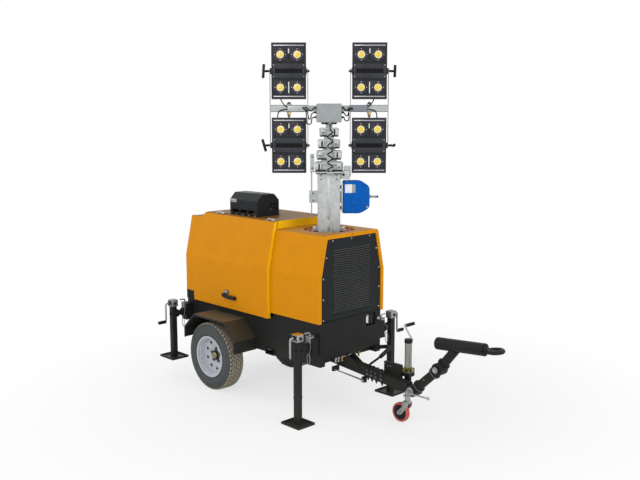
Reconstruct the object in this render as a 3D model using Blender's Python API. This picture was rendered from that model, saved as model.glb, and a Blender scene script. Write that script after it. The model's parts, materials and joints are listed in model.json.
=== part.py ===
"""Towable light tower: a sheet-metal generator housing on one axle, with swing-up legs,
a height-adjustable drawbar and a telescopic mast that carries four tilting lamps.

Metres, +Z up, +X towards the towing eye, +Y to the left. Every size along the trailer is
measured from the axle; the trailer empty then puts the middle of the whole length at X = 0.
"""

import math

import bmesh
import bpy
from mathutils import Matrix, Vector

# Clearances
TOUCH = 0.0003      # between pieces that are bolted or welded face to face
RUN = 0.0006        # between pieces that turn on each other
CLEAR = 0.006       # between pieces that pass each other

# Trailer lengths, measured from the axle
HOUSING_REAR = -0.552
HOUSING_SPLIT = 0.693
HOUSING_FRONT = 1.317
LEG_FRONT_X = 1.254
LEG_REAR_X = -0.565
MAST_X = 1.025

# Base: a closed tray on two side rails
BASE_HALF_W = 0.385
BASE_FLOOR_Z = 0.525
RAIL_Z = 0.460
RAIL_W = 0.060
SILL_REAR_Z = 0.793
SILL_FRONT_Z = 0.846
COVER_RECESS = 0.010
CROSS_TUBE = 0.050
POCKET_W = 0.120
POCKET_H = 0.060
POCKET_WALL = 0.005
POCKET_Z = 0.445
POCKET_CENTRES = (0.660, -0.410)
DIAL_Y = 0.255
DIAL_Z = 0.780
DIAL_W = 0.125
DIAL_H = 0.110
DIAL_DEPTH = 0.035

# Housing sheet metal
SHEET = 0.025
DOOR_T = 0.030
KINK_Z = 1.234
REAR_HALF_W = 0.434
REAR_TOP_HALF_W = 0.341
REAR_ROOF_Z = 1.667
FRONT_HALF_W = 0.411
FRONT_TOP_HALF_W = 0.332
FRONT_ROOF_Z = 1.598
STEP_LENGTH = 0.165
STEP_DROP = 0.050
CORNER_R = 0.028
LIP_WIDTH = 0.052
LIP_HEIGHT = 0.008
FRAME_BAND = 0.034
HINGE_Y = 0.312
HINGE_BARREL_R = 0.007
HINGE_LENGTH = 0.100
HINGE_CENTRES = (-0.120, 0.610)
LATCH_X = 0.137
LATCH_Z = 0.905
LATCH_LENGTH = 0.200
LATCH_H = 0.034

# Front grille
GRILLE_T = 0.014
GRILLE_SET_BACK = 0.012
LOUVRE_ROWS = 28
LOUVRE_PITCH = 0.020
LOUVRE_SLOT = 0.008
LOUVRE_SLANT = 0.005      # how far a slot rises or falls from the panel's middle
LOUVRE_HALF_W = 0.225
LOUVRE_TOP_Z = 1.455

# Heavy blocks inside the housing
ENGINE_X = (-0.330, 0.480)
ENGINE_HALF_W = 0.240
ENGINE_H = 0.560
RADIATOR_T = 0.060
RADIATOR_HALF_W = 0.280
RADIATOR_H = FRONT_ROOF_Z - SILL_FRONT_Z - 0.152
RADIATOR_GAP = 0.030      # between the radiator and the grille

# Exhaust guard on the rear roof
GUARD_X = (-0.050, 0.350)
GUARD_Y = (-0.262, 0.004)
GUARD_H = 0.205
GUARD_CHAMFER = 0.062
GUARD_WALL = 0.004
GUARD_FLANGE = 0.020
GUARD_SLOT_H = 0.030
GUARD_SLOT_Z = 0.022      # foot of the side slots above the guard's foot
GUARD_SLOTS = 3
GUARD_END = 0.020         # plain sheet left at each end of the row of slots
GUARD_HOLE_R = 0.011
GUARD_HOLE_PITCH = (0.032, 0.036)
GUARD_HOLE_START = (0.030, 0.105)    # the first hole: from the guard's side, above its foot

# Running gear
WHEEL_R = 0.325
TYRE_W = 0.185
WHEEL_Y = BASE_HALF_W + TYRE_W / 2.0 + 0.0225
BEAD_R = 0.186
RIM_FLANGE_R = 0.198
RIM_WALL = 0.006
HUB_R = 0.045
VENT_COUNT = 9
WHEEL_SEGMENTS = 32
AXLE_TUBE = 0.060
SPINDLE_R = 0.020
SPRING_SPAN = 0.560
SPRING_DROP = 0.052
LEAF_T = 0.009
LEAF_W = 0.050
LEAF_COUNT = 3
SPRING_Y = BASE_HALF_W - RAIL_W / 2.0
FENDER_OUT_Y = WHEEL_Y + 0.140
FENDER_T = 0.006
FENDER_LIP = 0.018
FENDER_WEB = 0.030
FENDER_TOP_Z = 0.724
FENDER_TOP_X = (-0.165, 0.300)
FENDER_REAR_X = -0.322
FENDER_REAR_Z = (0.470, 0.575)
FENDER_FRONT_X = 0.452
FENDER_FRONT_Z = (0.450, 0.560)

# Legs
LEG_Y = BASE_HALF_W + 0.212
LEG_TUBE = 0.060
LEG_WALL = 0.004
LEG_BOTTOM_Z = 0.226
LEG_TOP_Z = 0.735
LEG_HEAD_H = 0.056
LEG_HEAD_W = 0.072
LEG_PIVOT_Z = 0.650
LEG_RAISE = 0.210
LEG_SPARE = 0.035         # left above a raised inner tube
LEG_INNER_LENGTH = LEG_TOP_Z - LEG_RAISE - LEG_SPARE
FOOT_X = 0.220
FOOT_Y = 0.190
FOOT_T = 0.008
FOOT_RIM = 0.012
CRANK_R = 0.007
CRANK_ARM = 0.180
GRIP_R = 0.014
GRIP_LENGTH = 0.110
MOUNT_BOX_W = 0.080
MOUNT_BOX_H = 0.160
MOUNT_BOX_OUT = 0.080
STUB_R = 0.026
FLANGE_R = 0.040
FLANGE_T = 0.020

# Drawbar and towing head
BAR = 0.080
BAR_REAR_X = 0.940
BAR_PLATE_HALF_W = 0.150
JOINT_1 = (2.034, 0.353)
JOINT_2 = (2.286, 0.589)
BAR_SLOPE_Z = 0.089       # drop of the drawbar per metre of length
HEAD_JUNCTION = (2.439, 0.779)
TOW_TUBE_REAR = (2.262, 0.797)
TOW_TUBE_FRONT = (2.714, 0.835)
TOW_TUBE_R = 0.050
LINK_R = 0.038
DISC_R = 0.052
DISC_T = 0.042
NECK_H = 0.064
NECK_SET_IN = 0.001       # how far a disc's flat neck lies inside its faces
COLLAR_R = 0.052
COLLAR_T = 0.012
DISC_CLEAR = 0.008        # between a joint's disc and the arm's collar
BOLT_R = 0.012
EYE_R = 0.075
EYE_BAR_R = 0.017
EYE_NECK = 0.017

# Jockey jack
JACK_X = 1.890
JACK_SIDE = 0.085         # sideways offset of the jack from the drawbar's middle
JACK_TUBE_R = 0.030
JACK_INNER_R = 0.024
JACK_TOP_Z = 0.739
JACK_TUBE_BOTTOM_Z = 0.330
JACK_INNER_DROP = 0.150   # from the jack's top down to its inner tube
JACK_ARM = (-0.085, 0.105)
JACK_CLAMP_H = 0.070
JACK_CLAMP_RISE = 0.055
BRACKET_REACH = 0.215     # from the jack back to its bracket's far end
BRACKET_T = 0.022
BRACKET_TOP_Z = 0.515
CASTER_R = 0.085
CASTER_W = 0.040
CASTER_TRAIL = 0.070
CASTER_PIN_R = 0.008
FORK_TOP_Z = 0.235

# Mast
MAST_TURN = math.radians(-45.0)
MAST_TUBE_W = 0.190
MAST_WALL = 0.008
MAST_STEP = 0.026
MAST_FOOT_T = 0.020
PAD_H = 0.050             # height of the slide pads at the foot of each section
CLEAT_OUT = 0.055
CLEAT_H = 0.050
MAST_TUBE_TOP_Z = 2.116
ROD_BRACKET_Z = (1.835, 1.940)
GUIDE_ROD_Z = (1.930, 2.150)
SIDE_BRACKET_TOP_Z = 2.265
COLLAR_TOPS = (2.196, 2.295, 2.392, 2.493, 2.600)
COLLAR_H = 0.014
CORD_R = 0.028            # outer radius of the curly cord
CORD_S = 0.011            # sideways offset of its middle
CORD_LEAD = 0.060         # straight lead from its last turn up to the junction box
CORD_LEAD_R = 0.006
SIDE_BRACKET_OUT = 0.071  # how far the left guide bracket stands out from the tube
COLLAR_SPREAD = 0.030     # how far a section's collar stands out beyond its tube
BRACKET_OUT = 0.012       # how far the roller brackets stand out beyond the collar
RING_R = 0.212
RING_HOLE_R = 0.228
RING_T = 0.020
RING_DROP = 0.012
CROSSBAR = 0.052
CROSSBAR_HALF = 0.513
BOX_W = 0.217
BOX_H = 0.160
BOX_T = 0.085
BOX_CENTRE_Z = 2.621
BOX_STANDOFF = 0.042

# Lamps
LAMP_W = 0.300
LAMP_H = 0.482
LAMP_T = 0.060
LAMP_SIDE = 0.350
LAMP_RISE = 0.320         # from the crossbar's middle to the lamp's pivot
LAMP_FIN = 0.045
LAMP_FIN_COUNT = 9
LAMP_CORE_H = 0.125
LAMP_LENS_R = 0.034
LAMP_BOLT_R = 0.008
YOKE_BAR_W = 0.032
YOKE_BAR_T = 0.005
T_HANDLE_W = 0.125

# Winch on the mast
WINCH_S = (0.119, 0.359)
WINCH_Z = (FRONT_ROOF_Z + 0.144, FRONT_ROOF_Z + 0.437)
WINCH_T = 0.090

# What follows from the sizes above
FRONT_TIP = TOW_TUBE_FRONT[0] + EYE_NECK + 2.0 * EYE_R
REAR_TIP = LEG_REAR_X - FOOT_X / 2.0
DOOR_X = (HOUSING_REAR, HOUSING_SPLIT - CLEAR)
REAR_INSET = DOOR_T + CLEAR
CROSSBAR_Z = COLLAR_TOPS[-1] + COLLAR_H + CROSSBAR / 2.0 + 0.020
SECTION_COUNT = len(COLLAR_TOPS)
CORD_X = (MAST_TUBE_W - MAST_STEP) / 2.0 + COLLAR_SPREAD + CLEAR + CORD_R
LEAD_X = CROSSBAR / 2.0 + BOX_STANDOFF + BOX_T - 0.016
LEG_INNER = LEG_TUBE - 2.0 * (LEG_WALL + RUN)
HALF_RUN = RUN / 2.0

SIDES = (("right", -1), ("left", 1))

# Legs: name, X of its axis, side, end it swings to, height its foot stands above the ground
LEGS = (
    ("front_right", LEG_FRONT_X, -1, 1, 0.0),
    ("front_left", LEG_FRONT_X, 1, 1, 0.0),
    ("rear_right", LEG_REAR_X, -1, -1, LEG_RAISE),
    ("rear_left", LEG_REAR_X, 1, -1, LEG_RAISE),
)

# Lamps: name, side along the crossbar, above (1) or below (-1) it
LAMPS = (
    ("upper_left", -1, 1),
    ("upper_right", 1, 1),
    ("lower_left", -1, -1),
    ("lower_right", 1, -1),
)


# Materials
ORANGE = ("orange_paint", (0.66, 0.26, 0.005), 0.35, 0.0)
BLACK = ("black_paint", (0.020, 0.021, 0.019), 0.42, 0.0)
ZINC = ("galvanised_steel", (0.50, 0.52, 0.51), 0.40, 0.9)
RUBBER = ("tyre_rubber", (0.035, 0.036, 0.036), 0.85, 0.0)
SILVER = ("rim_paint", (0.42, 0.44, 0.48), 0.35, 0.3)
LAMP_GREY = ("lamp_casting", (0.038, 0.042, 0.055), 0.45, 0.2)
BLUE = ("winch_paint", (0.0, 0.12, 0.52), 0.35, 0.0)
GREY_BOX = ("box_plastic", (0.34, 0.36, 0.37), 0.5, 0.0)
RED = ("red_polyurethane", (0.52, 0.09, 0.06), 0.5, 0.0)
RING_RED = ("ring_primer", (0.22, 0.025, 0.020), 0.5, 0.0)
CAST = ("engine_grey", (0.10, 0.11, 0.12), 0.6, 0.4)
CORD = ("cord_rubber", (0.012, 0.012, 0.012), 0.6, 0.0)


def material(spec):
    """Return the Principled material that a colour spec names."""
    name, colour, roughness, metallic = spec
    mat = bpy.data.materials.get(name)
    if mat is None:
        mat = bpy.data.materials.new(name)
        mat.use_nodes = True
        shader = mat.node_tree.nodes["Principled BSDF"]
        shader.inputs["Base Color"].default_value = (*colour, 1.0)
        shader.inputs["Roughness"].default_value = roughness
        shader.inputs["Metallic"].default_value = metallic
    return mat


# Raw shapes: each returns a closed mesh

def to_mesh(bm):
    """Turn a bmesh into a mesh with its faces pointing out."""
    bmesh.ops.recalc_face_normals(bm, faces=bm.faces)
    mesh = bpy.data.meshes.new("shape")
    bm.to_mesh(mesh)
    bm.free()
    return mesh


def block(x, y, z):
    """A box between two values along each axis."""
    bm = bmesh.new()
    bmesh.ops.create_cube(bm, size=1.0)
    size = Vector((x[1] - x[0], y[1] - y[0], z[1] - z[0]))
    centre = Vector((x[1] + x[0], y[1] + y[0], z[1] + z[0])) / 2.0
    bmesh.ops.scale(bm, vec=size, verts=bm.verts)
    bmesh.ops.translate(bm, vec=centre, verts=bm.verts)
    return to_mesh(bm)


def centred(value, half):
    """The pair of values at either side of a middle."""
    return (value - half, value + half)


def prism(outline, axis, span):
    """Extrude an outline along X, Y or Z. Its points are (Y, Z), (X, Z) or (X, Y)."""
    place = {
        "X": lambda u, v: (span[0], u, v),
        "Y": lambda u, v: (u, span[0], v),
        "Z": lambda u, v: (u, v, span[0]),
    }[axis]
    step = {"X": (1, 0, 0), "Y": (0, 1, 0), "Z": (0, 0, 1)}[axis]
    bm = bmesh.new()
    face = bm.faces.new([bm.verts.new(place(u, v)) for u, v in outline])
    grown = bmesh.ops.extrude_face_region(bm, geom=[face])
    moved = [item for item in grown["geom"] if isinstance(item, bmesh.types.BMVert)]
    bmesh.ops.translate(bm, vec=Vector(step) * (span[1] - span[0]), verts=moved)
    return to_mesh(bm)


def rod(start, end, radius, segments=16, end_radius=None):
    """A round bar, or a cone, between two points."""
    start = Vector(start)
    end = Vector(end)
    along = end - start
    bm = bmesh.new()
    bmesh.ops.create_cone(
        bm, cap_ends=True, segments=segments, radius1=radius,
        radius2=radius if end_radius is None else end_radius, depth=along.length)
    turn = Vector((0, 0, 1)).rotation_difference(along).to_matrix().to_4x4()
    bmesh.ops.transform(bm, matrix=Matrix.Translation((start + end) / 2.0) @ turn, verts=bm.verts)
    return to_mesh(bm)


def bent_bar(points, radius, segments=10):
    """A round bar along a bent line, its rings mitred at the bends."""
    points = [Vector(point) for point in points]
    bm = bmesh.new()
    rings = []
    side = None
    for index, point in enumerate(points):
        before = (point - points[index - 1]).normalized() if index else None
        after = (points[index + 1] - point).normalized() if index < len(points) - 1 else None
        along = ((before or after) + (after or before)).normalized()
        side = (side or along.orthogonal())
        side = (side - along * side.dot(along)).normalized()
        across = along.cross(side)
        stretch = 1.0 if before is None or after is None else 1.0 / max(0.5, along.dot(after))
        ring = []
        for turn in range(segments):
            angle = 2.0 * math.pi * turn / segments
            offset = side * math.cos(angle) + across * math.sin(angle)
            if before is not None and after is not None:
                bend = (after - before)
                if bend.length > 1e-6:
                    bend.normalize()
                    offset = offset + bend * offset.dot(bend) * (stretch - 1.0)
            ring.append(bm.verts.new(point + offset * radius))
        rings.append(ring)
    for low, high in zip(rings, rings[1:]):
        for index in range(segments):
            after = (index + 1) % segments
            bm.faces.new((low[index], low[after], high[after], high[index]))
    bm.faces.new(rings[0])
    bm.faces.new(rings[-1])
    return to_mesh(bm)


def turned(profile, centre, axis, segments=32):
    """Turn a closed profile of (radius, distance along the axis) about an axis at a centre."""
    bm = bmesh.new()
    verts = [bm.verts.new((radius, 0.0, along)) for radius, along in profile]
    edges = [bm.edges.new(pair) for pair in zip(verts, verts[1:] + verts[:1])]
    bmesh.ops.spin(
        bm, geom=verts + edges, cent=(0, 0, 0), axis=(0, 0, 1), angle=2.0 * math.pi,
        steps=segments, use_merge=True)
    turn = Vector((0, 0, 1)).rotation_difference(Vector(axis)).to_matrix().to_4x4()
    bmesh.ops.transform(bm, matrix=Matrix.Translation(centre) @ turn, verts=bm.verts)
    return to_mesh(bm)


def torus(centre, axis, ring_radius, bar_radius, segments=28, bar_segments=10):
    """A closed ring of round bar, with a flat facet all round its top and its underside."""
    profile = []
    for index in range(bar_segments):
        angle = 2.0 * math.pi * (index + 0.5) / bar_segments
        profile.append((ring_radius + bar_radius * math.cos(angle), bar_radius * math.sin(angle)))
    return turned(profile, centre, axis, segments)


def moved(mesh, matrix):
    """The same mesh carried by a matrix."""
    mesh.transform(matrix)
    return mesh


def rounded(points, radii, steps=4):
    """Replace the corners of an outline by arcs. A radius of 0 keeps the corner."""
    outline = []
    count = len(points)
    for index, radius in enumerate(radii):
        corner = Vector(points[index])
        if radius <= 0.0:
            outline.append(tuple(corner))
            continue
        back = (Vector(points[index - 1]) - corner).normalized()
        ahead = (Vector(points[(index + 1) % count]) - corner).normalized()
        half = back.angle(ahead) / 2.0
        reach = radius / math.tan(half)
        centre = corner + (back + ahead).normalized() * (radius / math.sin(half))
        first = corner + back * reach - centre
        sweep = first.angle_signed(corner + ahead * reach - centre)
        for step in range(steps + 1):
            angle = -sweep * step / steps
            turn = Matrix.Rotation(angle, 2)
            outline.append(tuple(centre + turn @ first))
    return outline


def square(width, centre=(0.0, 0.0)):
    """The outline of a square."""
    half = width / 2.0
    return [(centre[0] + sx * half, centre[1] + sy * half)
            for sx, sy in ((-1, -1), (1, -1), (1, 1), (-1, 1))]


def polar(centre, radius, angle):
    """The point at a radius and an angle from a centre in the X-Z plane."""
    return (centre[0] + radius * math.cos(angle), centre[1] + radius * math.sin(angle))


# Objects

def combine(solids, cuts=(), keep=()):
    """Join closed meshes into one body, cut others from it, keep only what others enclose."""
    helpers = []
    body = bpy.data.objects.new("body", solids[0])
    bpy.context.scene.collection.objects.link(body)
    steps = [(mesh, "UNION") for mesh in solids[1:]]
    steps += [(mesh, "DIFFERENCE") for mesh in cuts]
    steps += [(mesh, "INTERSECT") for mesh in keep]
    for mesh, operation in steps:
        helper = bpy.data.objects.new("helper", mesh)
        bpy.context.scene.collection.objects.link(helper)
        helpers.append(helper)
        modifier = body.modifiers.new(operation, "BOOLEAN")
        modifier.operation = operation
        modifier.solver = "EXACT"
        modifier.object = helper
    bpy.context.view_layer.update()
    graph = bpy.context.evaluated_depsgraph_get()
    result = bpy.data.meshes.new_from_object(body.evaluated_get(graph))
    for helper in [body] + helpers:
        bpy.data.objects.remove(helper)
    return result


def sub_part(name, mesh, spec, parent, origin=(0.0, 0.0, 0.0), smooth=35.0):
    """Make a named object whose origin is at a point of its parent's frame."""
    mesh.transform(Matrix.Translation(-Vector(origin)))
    mesh.name = name
    mesh.materials.clear()
    mesh.materials.append(material(spec))
    mesh.shade_smooth()
    mesh.set_sharp_from_angle(angle=math.radians(smooth))
    obj = bpy.data.objects.new(name, mesh)
    bpy.context.scene.collection.objects.link(obj)
    obj.parent = parent
    obj.location = origin
    return obj


def empty(name, location, parent=None, turn=0.0):
    """An empty that carries other pieces."""
    obj = bpy.data.objects.new(name, None)
    bpy.context.scene.collection.objects.link(obj)
    obj.parent = parent
    obj.location = location
    obj.rotation_euler = (0.0, 0.0, turn)
    return obj


# Housing outlines, in the Y-Z plane

def housing_outline(half_w, top_half_w, sill_z, roof_z, radius=CORNER_R):
    """The housing's section: upright sides, leaning in above the kink, with a flat roof."""
    points = [(-half_w, sill_z), (half_w, sill_z), (half_w, KINK_Z), (top_half_w, roof_z),
              (-top_half_w, roof_z), (-half_w, KINK_Z)]
    return rounded(points, (0, 0, 0, radius, radius, 0))


def lean(half_w, top_half_w, roof_z, z):
    """The half width of the leaning side at a height above the kink."""
    share = (z - KINK_Z) / (roof_z - KINK_Z)
    return half_w + (top_half_w - half_w) * share


def inner_outline(half_w, top_half_w, sill_z, roof_z, inset):
    """The section a wall's thickness further in, its roof kept at a height of its own."""
    low_w = half_w - inset
    roof_low = roof_z - inset
    top_w = lean(half_w, top_half_w, roof_z, roof_low) - inset
    return [(-low_w, sill_z), (low_w, sill_z), (low_w, KINK_Z - inset * 0.2), (top_w, roof_low),
            (-top_w, roof_low), (-low_w, KINK_Z - inset * 0.2)]


def bar_axis_z(x):
    """The height of the drawbar's middle at a place along it."""
    return JOINT_1[1] + (JOINT_1[0] - x) * BAR_SLOPE_Z


def build_base(root):
    """The welded tray with its rails, fork pockets and the boxes that carry the legs."""
    front = HOUSING_FRONT - COVER_RECESS
    low = HOUSING_REAR
    half = BASE_HALF_W
    tray_outline = [
        (low, BASE_FLOOR_Z), (front, BASE_FLOOR_Z), (front, SILL_FRONT_Z - TOUCH),
        (HOUSING_SPLIT + TOUCH, SILL_FRONT_Z - TOUCH), (HOUSING_SPLIT + TOUCH, SILL_REAR_Z - TOUCH),
        (low, SILL_REAR_Z - TOUCH)]
    solids = [prism(tray_outline, "Y", (-half, half))]
    for _, side in SIDES:
        rail_y = sorted((side * half, side * (half - RAIL_W)))
        solids.append(block((low, front), rail_y, (RAIL_Z, BASE_FLOOR_Z + 0.01)))
    cross_z = (RAIL_Z + 0.004, BASE_FLOOR_Z + 0.01)
    rear_cross = centred(low + CROSS_TUBE, CROSS_TUBE / 2.0)
    front_cross = centred(HOUSING_FRONT - 2.0 * CROSS_TUBE, CROSS_TUBE / 2.0)
    solids.append(block(rear_cross, centred(0, half - RAIL_W / 2.0), cross_z))
    for _, side in SIDES:
        cross_y = sorted((side * (BAR_PLATE_HALF_W + TOUCH), side * (half - RAIL_W / 2.0)))
        solids.append(block(front_cross, cross_y, cross_z))
    pocket_z = (POCKET_Z, POCKET_Z + POCKET_H)
    for x in POCKET_CENTRES:
        solids.append(block(centred(x, POCKET_W / 2.0), centred(0, half + 0.012), pocket_z))
    mount_z = centred(LEG_PIVOT_Z, MOUNT_BOX_H / 2.0)
    for _, x, side, _, _ in LEGS:
        box_y = sorted((side * (half - 0.02), side * (half + MOUNT_BOX_OUT)))
        solids.append(block(centred(x, MOUNT_BOX_W / 2.0), box_y, mount_z))
        solids.append(rod((x, side * (half + MOUNT_BOX_OUT - 0.01), LEG_PIVOT_Z),
                          (x, side * (LEG_Y - LEG_TUBE / 2.0 - FLANGE_T - RUN), LEG_PIVOT_Z), STUB_R, 24))
    solids.append(block(centred(LEG_REAR_X, MOUNT_BOX_W / 2.0 - 0.01), centred(0, half), mount_z))
    foot_z = SILL_FRONT_Z - TOUCH
    solids.append(rod((MAST_X, 0, foot_z - 0.02), (MAST_X, 0, foot_z + MAST_FOOT_T), 0.15, 32))
    cuts = []
    for x in POCKET_CENTRES:
        cuts.append(block(centred(x, POCKET_W / 2.0 - POCKET_WALL), centred(0, half + 0.05),
                          (POCKET_Z + POCKET_WALL, POCKET_Z + POCKET_H - POCKET_WALL)))
    cuts.append(block((front - DIAL_DEPTH, front + 0.02), centred(DIAL_Y, DIAL_W / 2.0),
                      centred(DIAL_Z, DIAL_H / 2.0)))
    sub_part("base_frame", combine(solids, cuts), BLACK, root)


def build_rear_housing(root):
    """The fixed part of the rear housing: roof with its rear step, end walls, hinge leaves."""
    rear = HOUSING_REAR
    front = HOUSING_SPLIT
    low_roof = REAR_ROOF_Z - STEP_DROP
    step_x = rear + STEP_LENGTH
    arch = [
        (rear, SILL_REAR_Z), (rear + SHEET, SILL_REAR_Z), (rear + SHEET, low_roof - SHEET),
        (step_x + SHEET, low_roof - SHEET), (step_x + SHEET + STEP_DROP, REAR_ROOF_Z - SHEET),
        (front - SHEET, REAR_ROOF_Z - SHEET), (front - SHEET, SILL_FRONT_Z), (front, SILL_FRONT_Z),
        (front, REAR_ROOF_Z), (step_x + STEP_DROP, REAR_ROOF_Z), (step_x, low_roof), (rear, low_roof)]
    radii = [0] * len(arch)
    radii[-1] = CORNER_R
    half = REAR_HALF_W
    shell = prism(rounded(arch, radii), "Y", (-half, half))
    lip_w = HINGE_Y - CLEAR / 2.0
    inner = inner_outline(half, REAR_TOP_HALF_W, SILL_REAR_Z - 0.01, REAR_ROOF_Z, REAR_INSET)
    top_w = inner[3][0]
    section = inner[:3] + [(top_w, REAR_ROOF_Z - REAR_INSET), (lip_w, REAR_ROOF_Z - REAR_INSET),
                           (lip_w, REAR_ROOF_Z + 0.01), (-lip_w, REAR_ROOF_Z + 0.01),
                           (-lip_w, REAR_ROOF_Z - REAR_INSET), (-top_w, REAR_ROOF_Z - REAR_INSET), inner[5]]
    envelope = prism(section, "X", (rear - 0.01, front + 0.01))
    solids = [combine([shell], keep=[envelope])]
    barrel_z = REAR_ROOF_Z + HINGE_BARREL_R
    for _, side in SIDES:
        for x in HINGE_CENTRES:
            leaf_y = sorted((side * (HINGE_Y - 0.055), side * HINGE_Y))
            solids.append(block(centred(x, HINGE_LENGTH * 0.3), leaf_y,
                                (REAR_ROOF_Z - 0.002, REAR_ROOF_Z + 0.004)))
            solids.append(rod((x - HINGE_LENGTH * 0.3, side * HINGE_Y, barrel_z),
                              (x + HINGE_LENGTH * 0.3, side * HINGE_Y, barrel_z), HINGE_BARREL_R, 12))
    sub_part("housing_rear", combine(solids), ORANGE, root)


def build_door(root, name, side):
    """A gull-wing side panel with a raised lip at its front edge and its hinge leaves."""
    half = REAR_HALF_W
    low_roof = REAR_ROOF_Z - STEP_DROP
    step_x = HOUSING_REAR + STEP_LENGTH
    outer = housing_outline(half, REAR_TOP_HALF_W, SILL_REAR_Z, REAR_ROOF_Z)
    lip = housing_outline(half + LIP_HEIGHT, REAR_TOP_HALF_W + LIP_HEIGHT, SILL_REAR_Z,
                          REAR_ROOF_Z)
    shell = combine([prism(outer, "X", DOOR_X),
                     prism(lip, "X", (DOOR_X[1] - LIP_WIDTH, DOOR_X[1]))],
                    cuts=[prism(door_core(half), "X", (DOOR_X[0] - 0.01, DOOR_X[1] + 0.01))])
    hinge_side = HINGE_Y + CLEAR / 2.0
    outward = sorted((side * hinge_side, side * (half + 0.05)))
    kept = prism([(DOOR_X[0] - 0.01, SILL_REAR_Z - 0.05), (DOOR_X[1] + 0.01, SILL_REAR_Z - 0.05),
                  (DOOR_X[1] + 0.01, REAR_ROOF_Z + 0.05), (step_x + STEP_DROP, REAR_ROOF_Z + 0.05),
                  (step_x + STEP_DROP, REAR_ROOF_Z), (step_x, low_roof), (DOOR_X[0] - 0.01, low_roof)],
                 "Y", outward)
    solids = [combine([shell], keep=[kept])]
    barrel_z = REAR_ROOF_Z + HINGE_BARREL_R
    for x in HINGE_CENTRES:
        for end in (-1, 1):
            span = sorted((x + end * (HINGE_LENGTH * 0.3 + 0.0015), x + end * HINGE_LENGTH / 2.0))
            leaf_y = sorted((side * HINGE_Y, side * (HINGE_Y + 0.028)))
            solids.append(block(span, leaf_y, (REAR_ROOF_Z - 0.003, REAR_ROOF_Z + 0.004)))
            solids.append(rod((span[0], side * HINGE_Y, barrel_z), (span[1], side * HINGE_Y, barrel_z),
                              HINGE_BARREL_R, 12))
    latch_y = sorted((side * (half - 0.004), side * (half + 0.020)))
    solids.append(prism(rounded([(LATCH_X - LATCH_LENGTH / 2.0, LATCH_Z - LATCH_H / 2.0),
                                 (LATCH_X + LATCH_LENGTH / 2.0, LATCH_Z - LATCH_H / 2.0),
                                 (LATCH_X + LATCH_LENGTH / 2.0, LATCH_Z + LATCH_H / 2.0),
                                 (LATCH_X - LATCH_LENGTH / 2.0, LATCH_Z + LATCH_H / 2.0)], (0.012,) * 4, 3),
                        "Y", latch_y))
    sub_part(name, combine(solids), ORANGE, root, (0.0, side * HINGE_Y, barrel_z))


def door_core(half):
    """What the doors enclose: their section one panel thickness further in, open at the top."""
    top_z = REAR_ROOF_Z + 0.02
    low_w = half - DOOR_T
    top_w = lean(half, REAR_TOP_HALF_W, REAR_ROOF_Z, top_z) - DOOR_T
    return [(-low_w, SILL_REAR_Z - 0.02), (low_w, SILL_REAR_Z - 0.02), (low_w, KINK_Z - DOOR_T * 0.2),
            (top_w, top_z), (-top_w, top_z), (-low_w, KINK_Z - DOOR_T * 0.2)]


def build_front_housing(root):
    """The front housing: a folded shell with a framed front opening and the mast's round hole."""
    rear = HOUSING_SPLIT + TOUCH
    front = HOUSING_FRONT
    sill = SILL_FRONT_Z
    outer = housing_outline(FRONT_HALF_W, FRONT_TOP_HALF_W, sill, FRONT_ROOF_Z)
    inner = inner_outline(FRONT_HALF_W, FRONT_TOP_HALF_W, sill - 0.01, FRONT_ROOF_Z, SHEET)
    opening = grille_outline(0.0)
    shell = combine([prism(outer, "X", (rear, front))],
                    cuts=[prism(inner, "X", (rear - 0.01, front - SHEET)),
                          prism(opening, "X", (front - 2.0 * SHEET, front + 0.01)),
                          rod((MAST_X, 0, FRONT_ROOF_Z - 0.1), (MAST_X, 0, FRONT_ROOF_Z + 0.1),
                              RING_HOLE_R, 40)])
    sub_part("housing_front", shell, ORANGE, root)


def grille_outline(gap):
    """The front opening inside the frame band, smaller by a gap all round."""
    inset = FRAME_BAND + gap
    low_w = FRONT_HALF_W - inset
    top_z = FRONT_ROOF_Z - inset
    top_w = lean(FRONT_HALF_W, FRONT_TOP_HALF_W, FRONT_ROOF_Z, top_z) - inset
    sill = SILL_FRONT_Z - 0.01 if gap == 0.0 else SILL_FRONT_Z + gap
    points = [(-low_w, sill), (low_w, sill), (low_w, KINK_Z), (top_w, top_z), (-top_w, top_z),
              (-low_w, KINK_Z)]
    return rounded(points, (0, 0, 0, 0.02, 0.02, 0))


def build_grille(root):
    """The black front panel with rows of slots, each under a pressed louvre hood."""
    front = HOUSING_FRONT - GRILLE_SET_BACK
    panel = prism(grille_outline(TOUCH), "X", (front - GRILLE_T, front))
    cuts = []
    for row in range(LOUVRE_ROWS):
        z = LOUVRE_TOP_Z - row * LOUVRE_PITCH
        half = LOUVRE_HALF_W
        back = front - GRILLE_T - 0.01
        low = z - LOUVRE_SLANT
        high = z + LOUVRE_SLANT
        slant = [(back, high), (front + 0.01, low), (front + 0.01, low + LOUVRE_SLOT),
                 (back, high + LOUVRE_SLOT)]
        cuts.append(prism(slant, "Y", (-half, half)))
    sub_part("front_grille", combine([panel], cuts), BLACK, root)


def build_heavy_blocks(root):
    """The engine and the radiator as plain blocks at their real places."""
    floor = SILL_REAR_Z
    engine = block(ENGINE_X, centred(0, ENGINE_HALF_W), (floor, floor + ENGINE_H))
    sub_part("engine_block", engine, CAST, root)
    back = HOUSING_FRONT - GRILLE_SET_BACK - GRILLE_T - RADIATOR_GAP
    radiator = block((back - RADIATOR_T, back), centred(0, RADIATOR_HALF_W),
                     (SILL_FRONT_Z, SILL_FRONT_Z + RADIATOR_H))
    sub_part("radiator", radiator, CAST, root)


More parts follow.
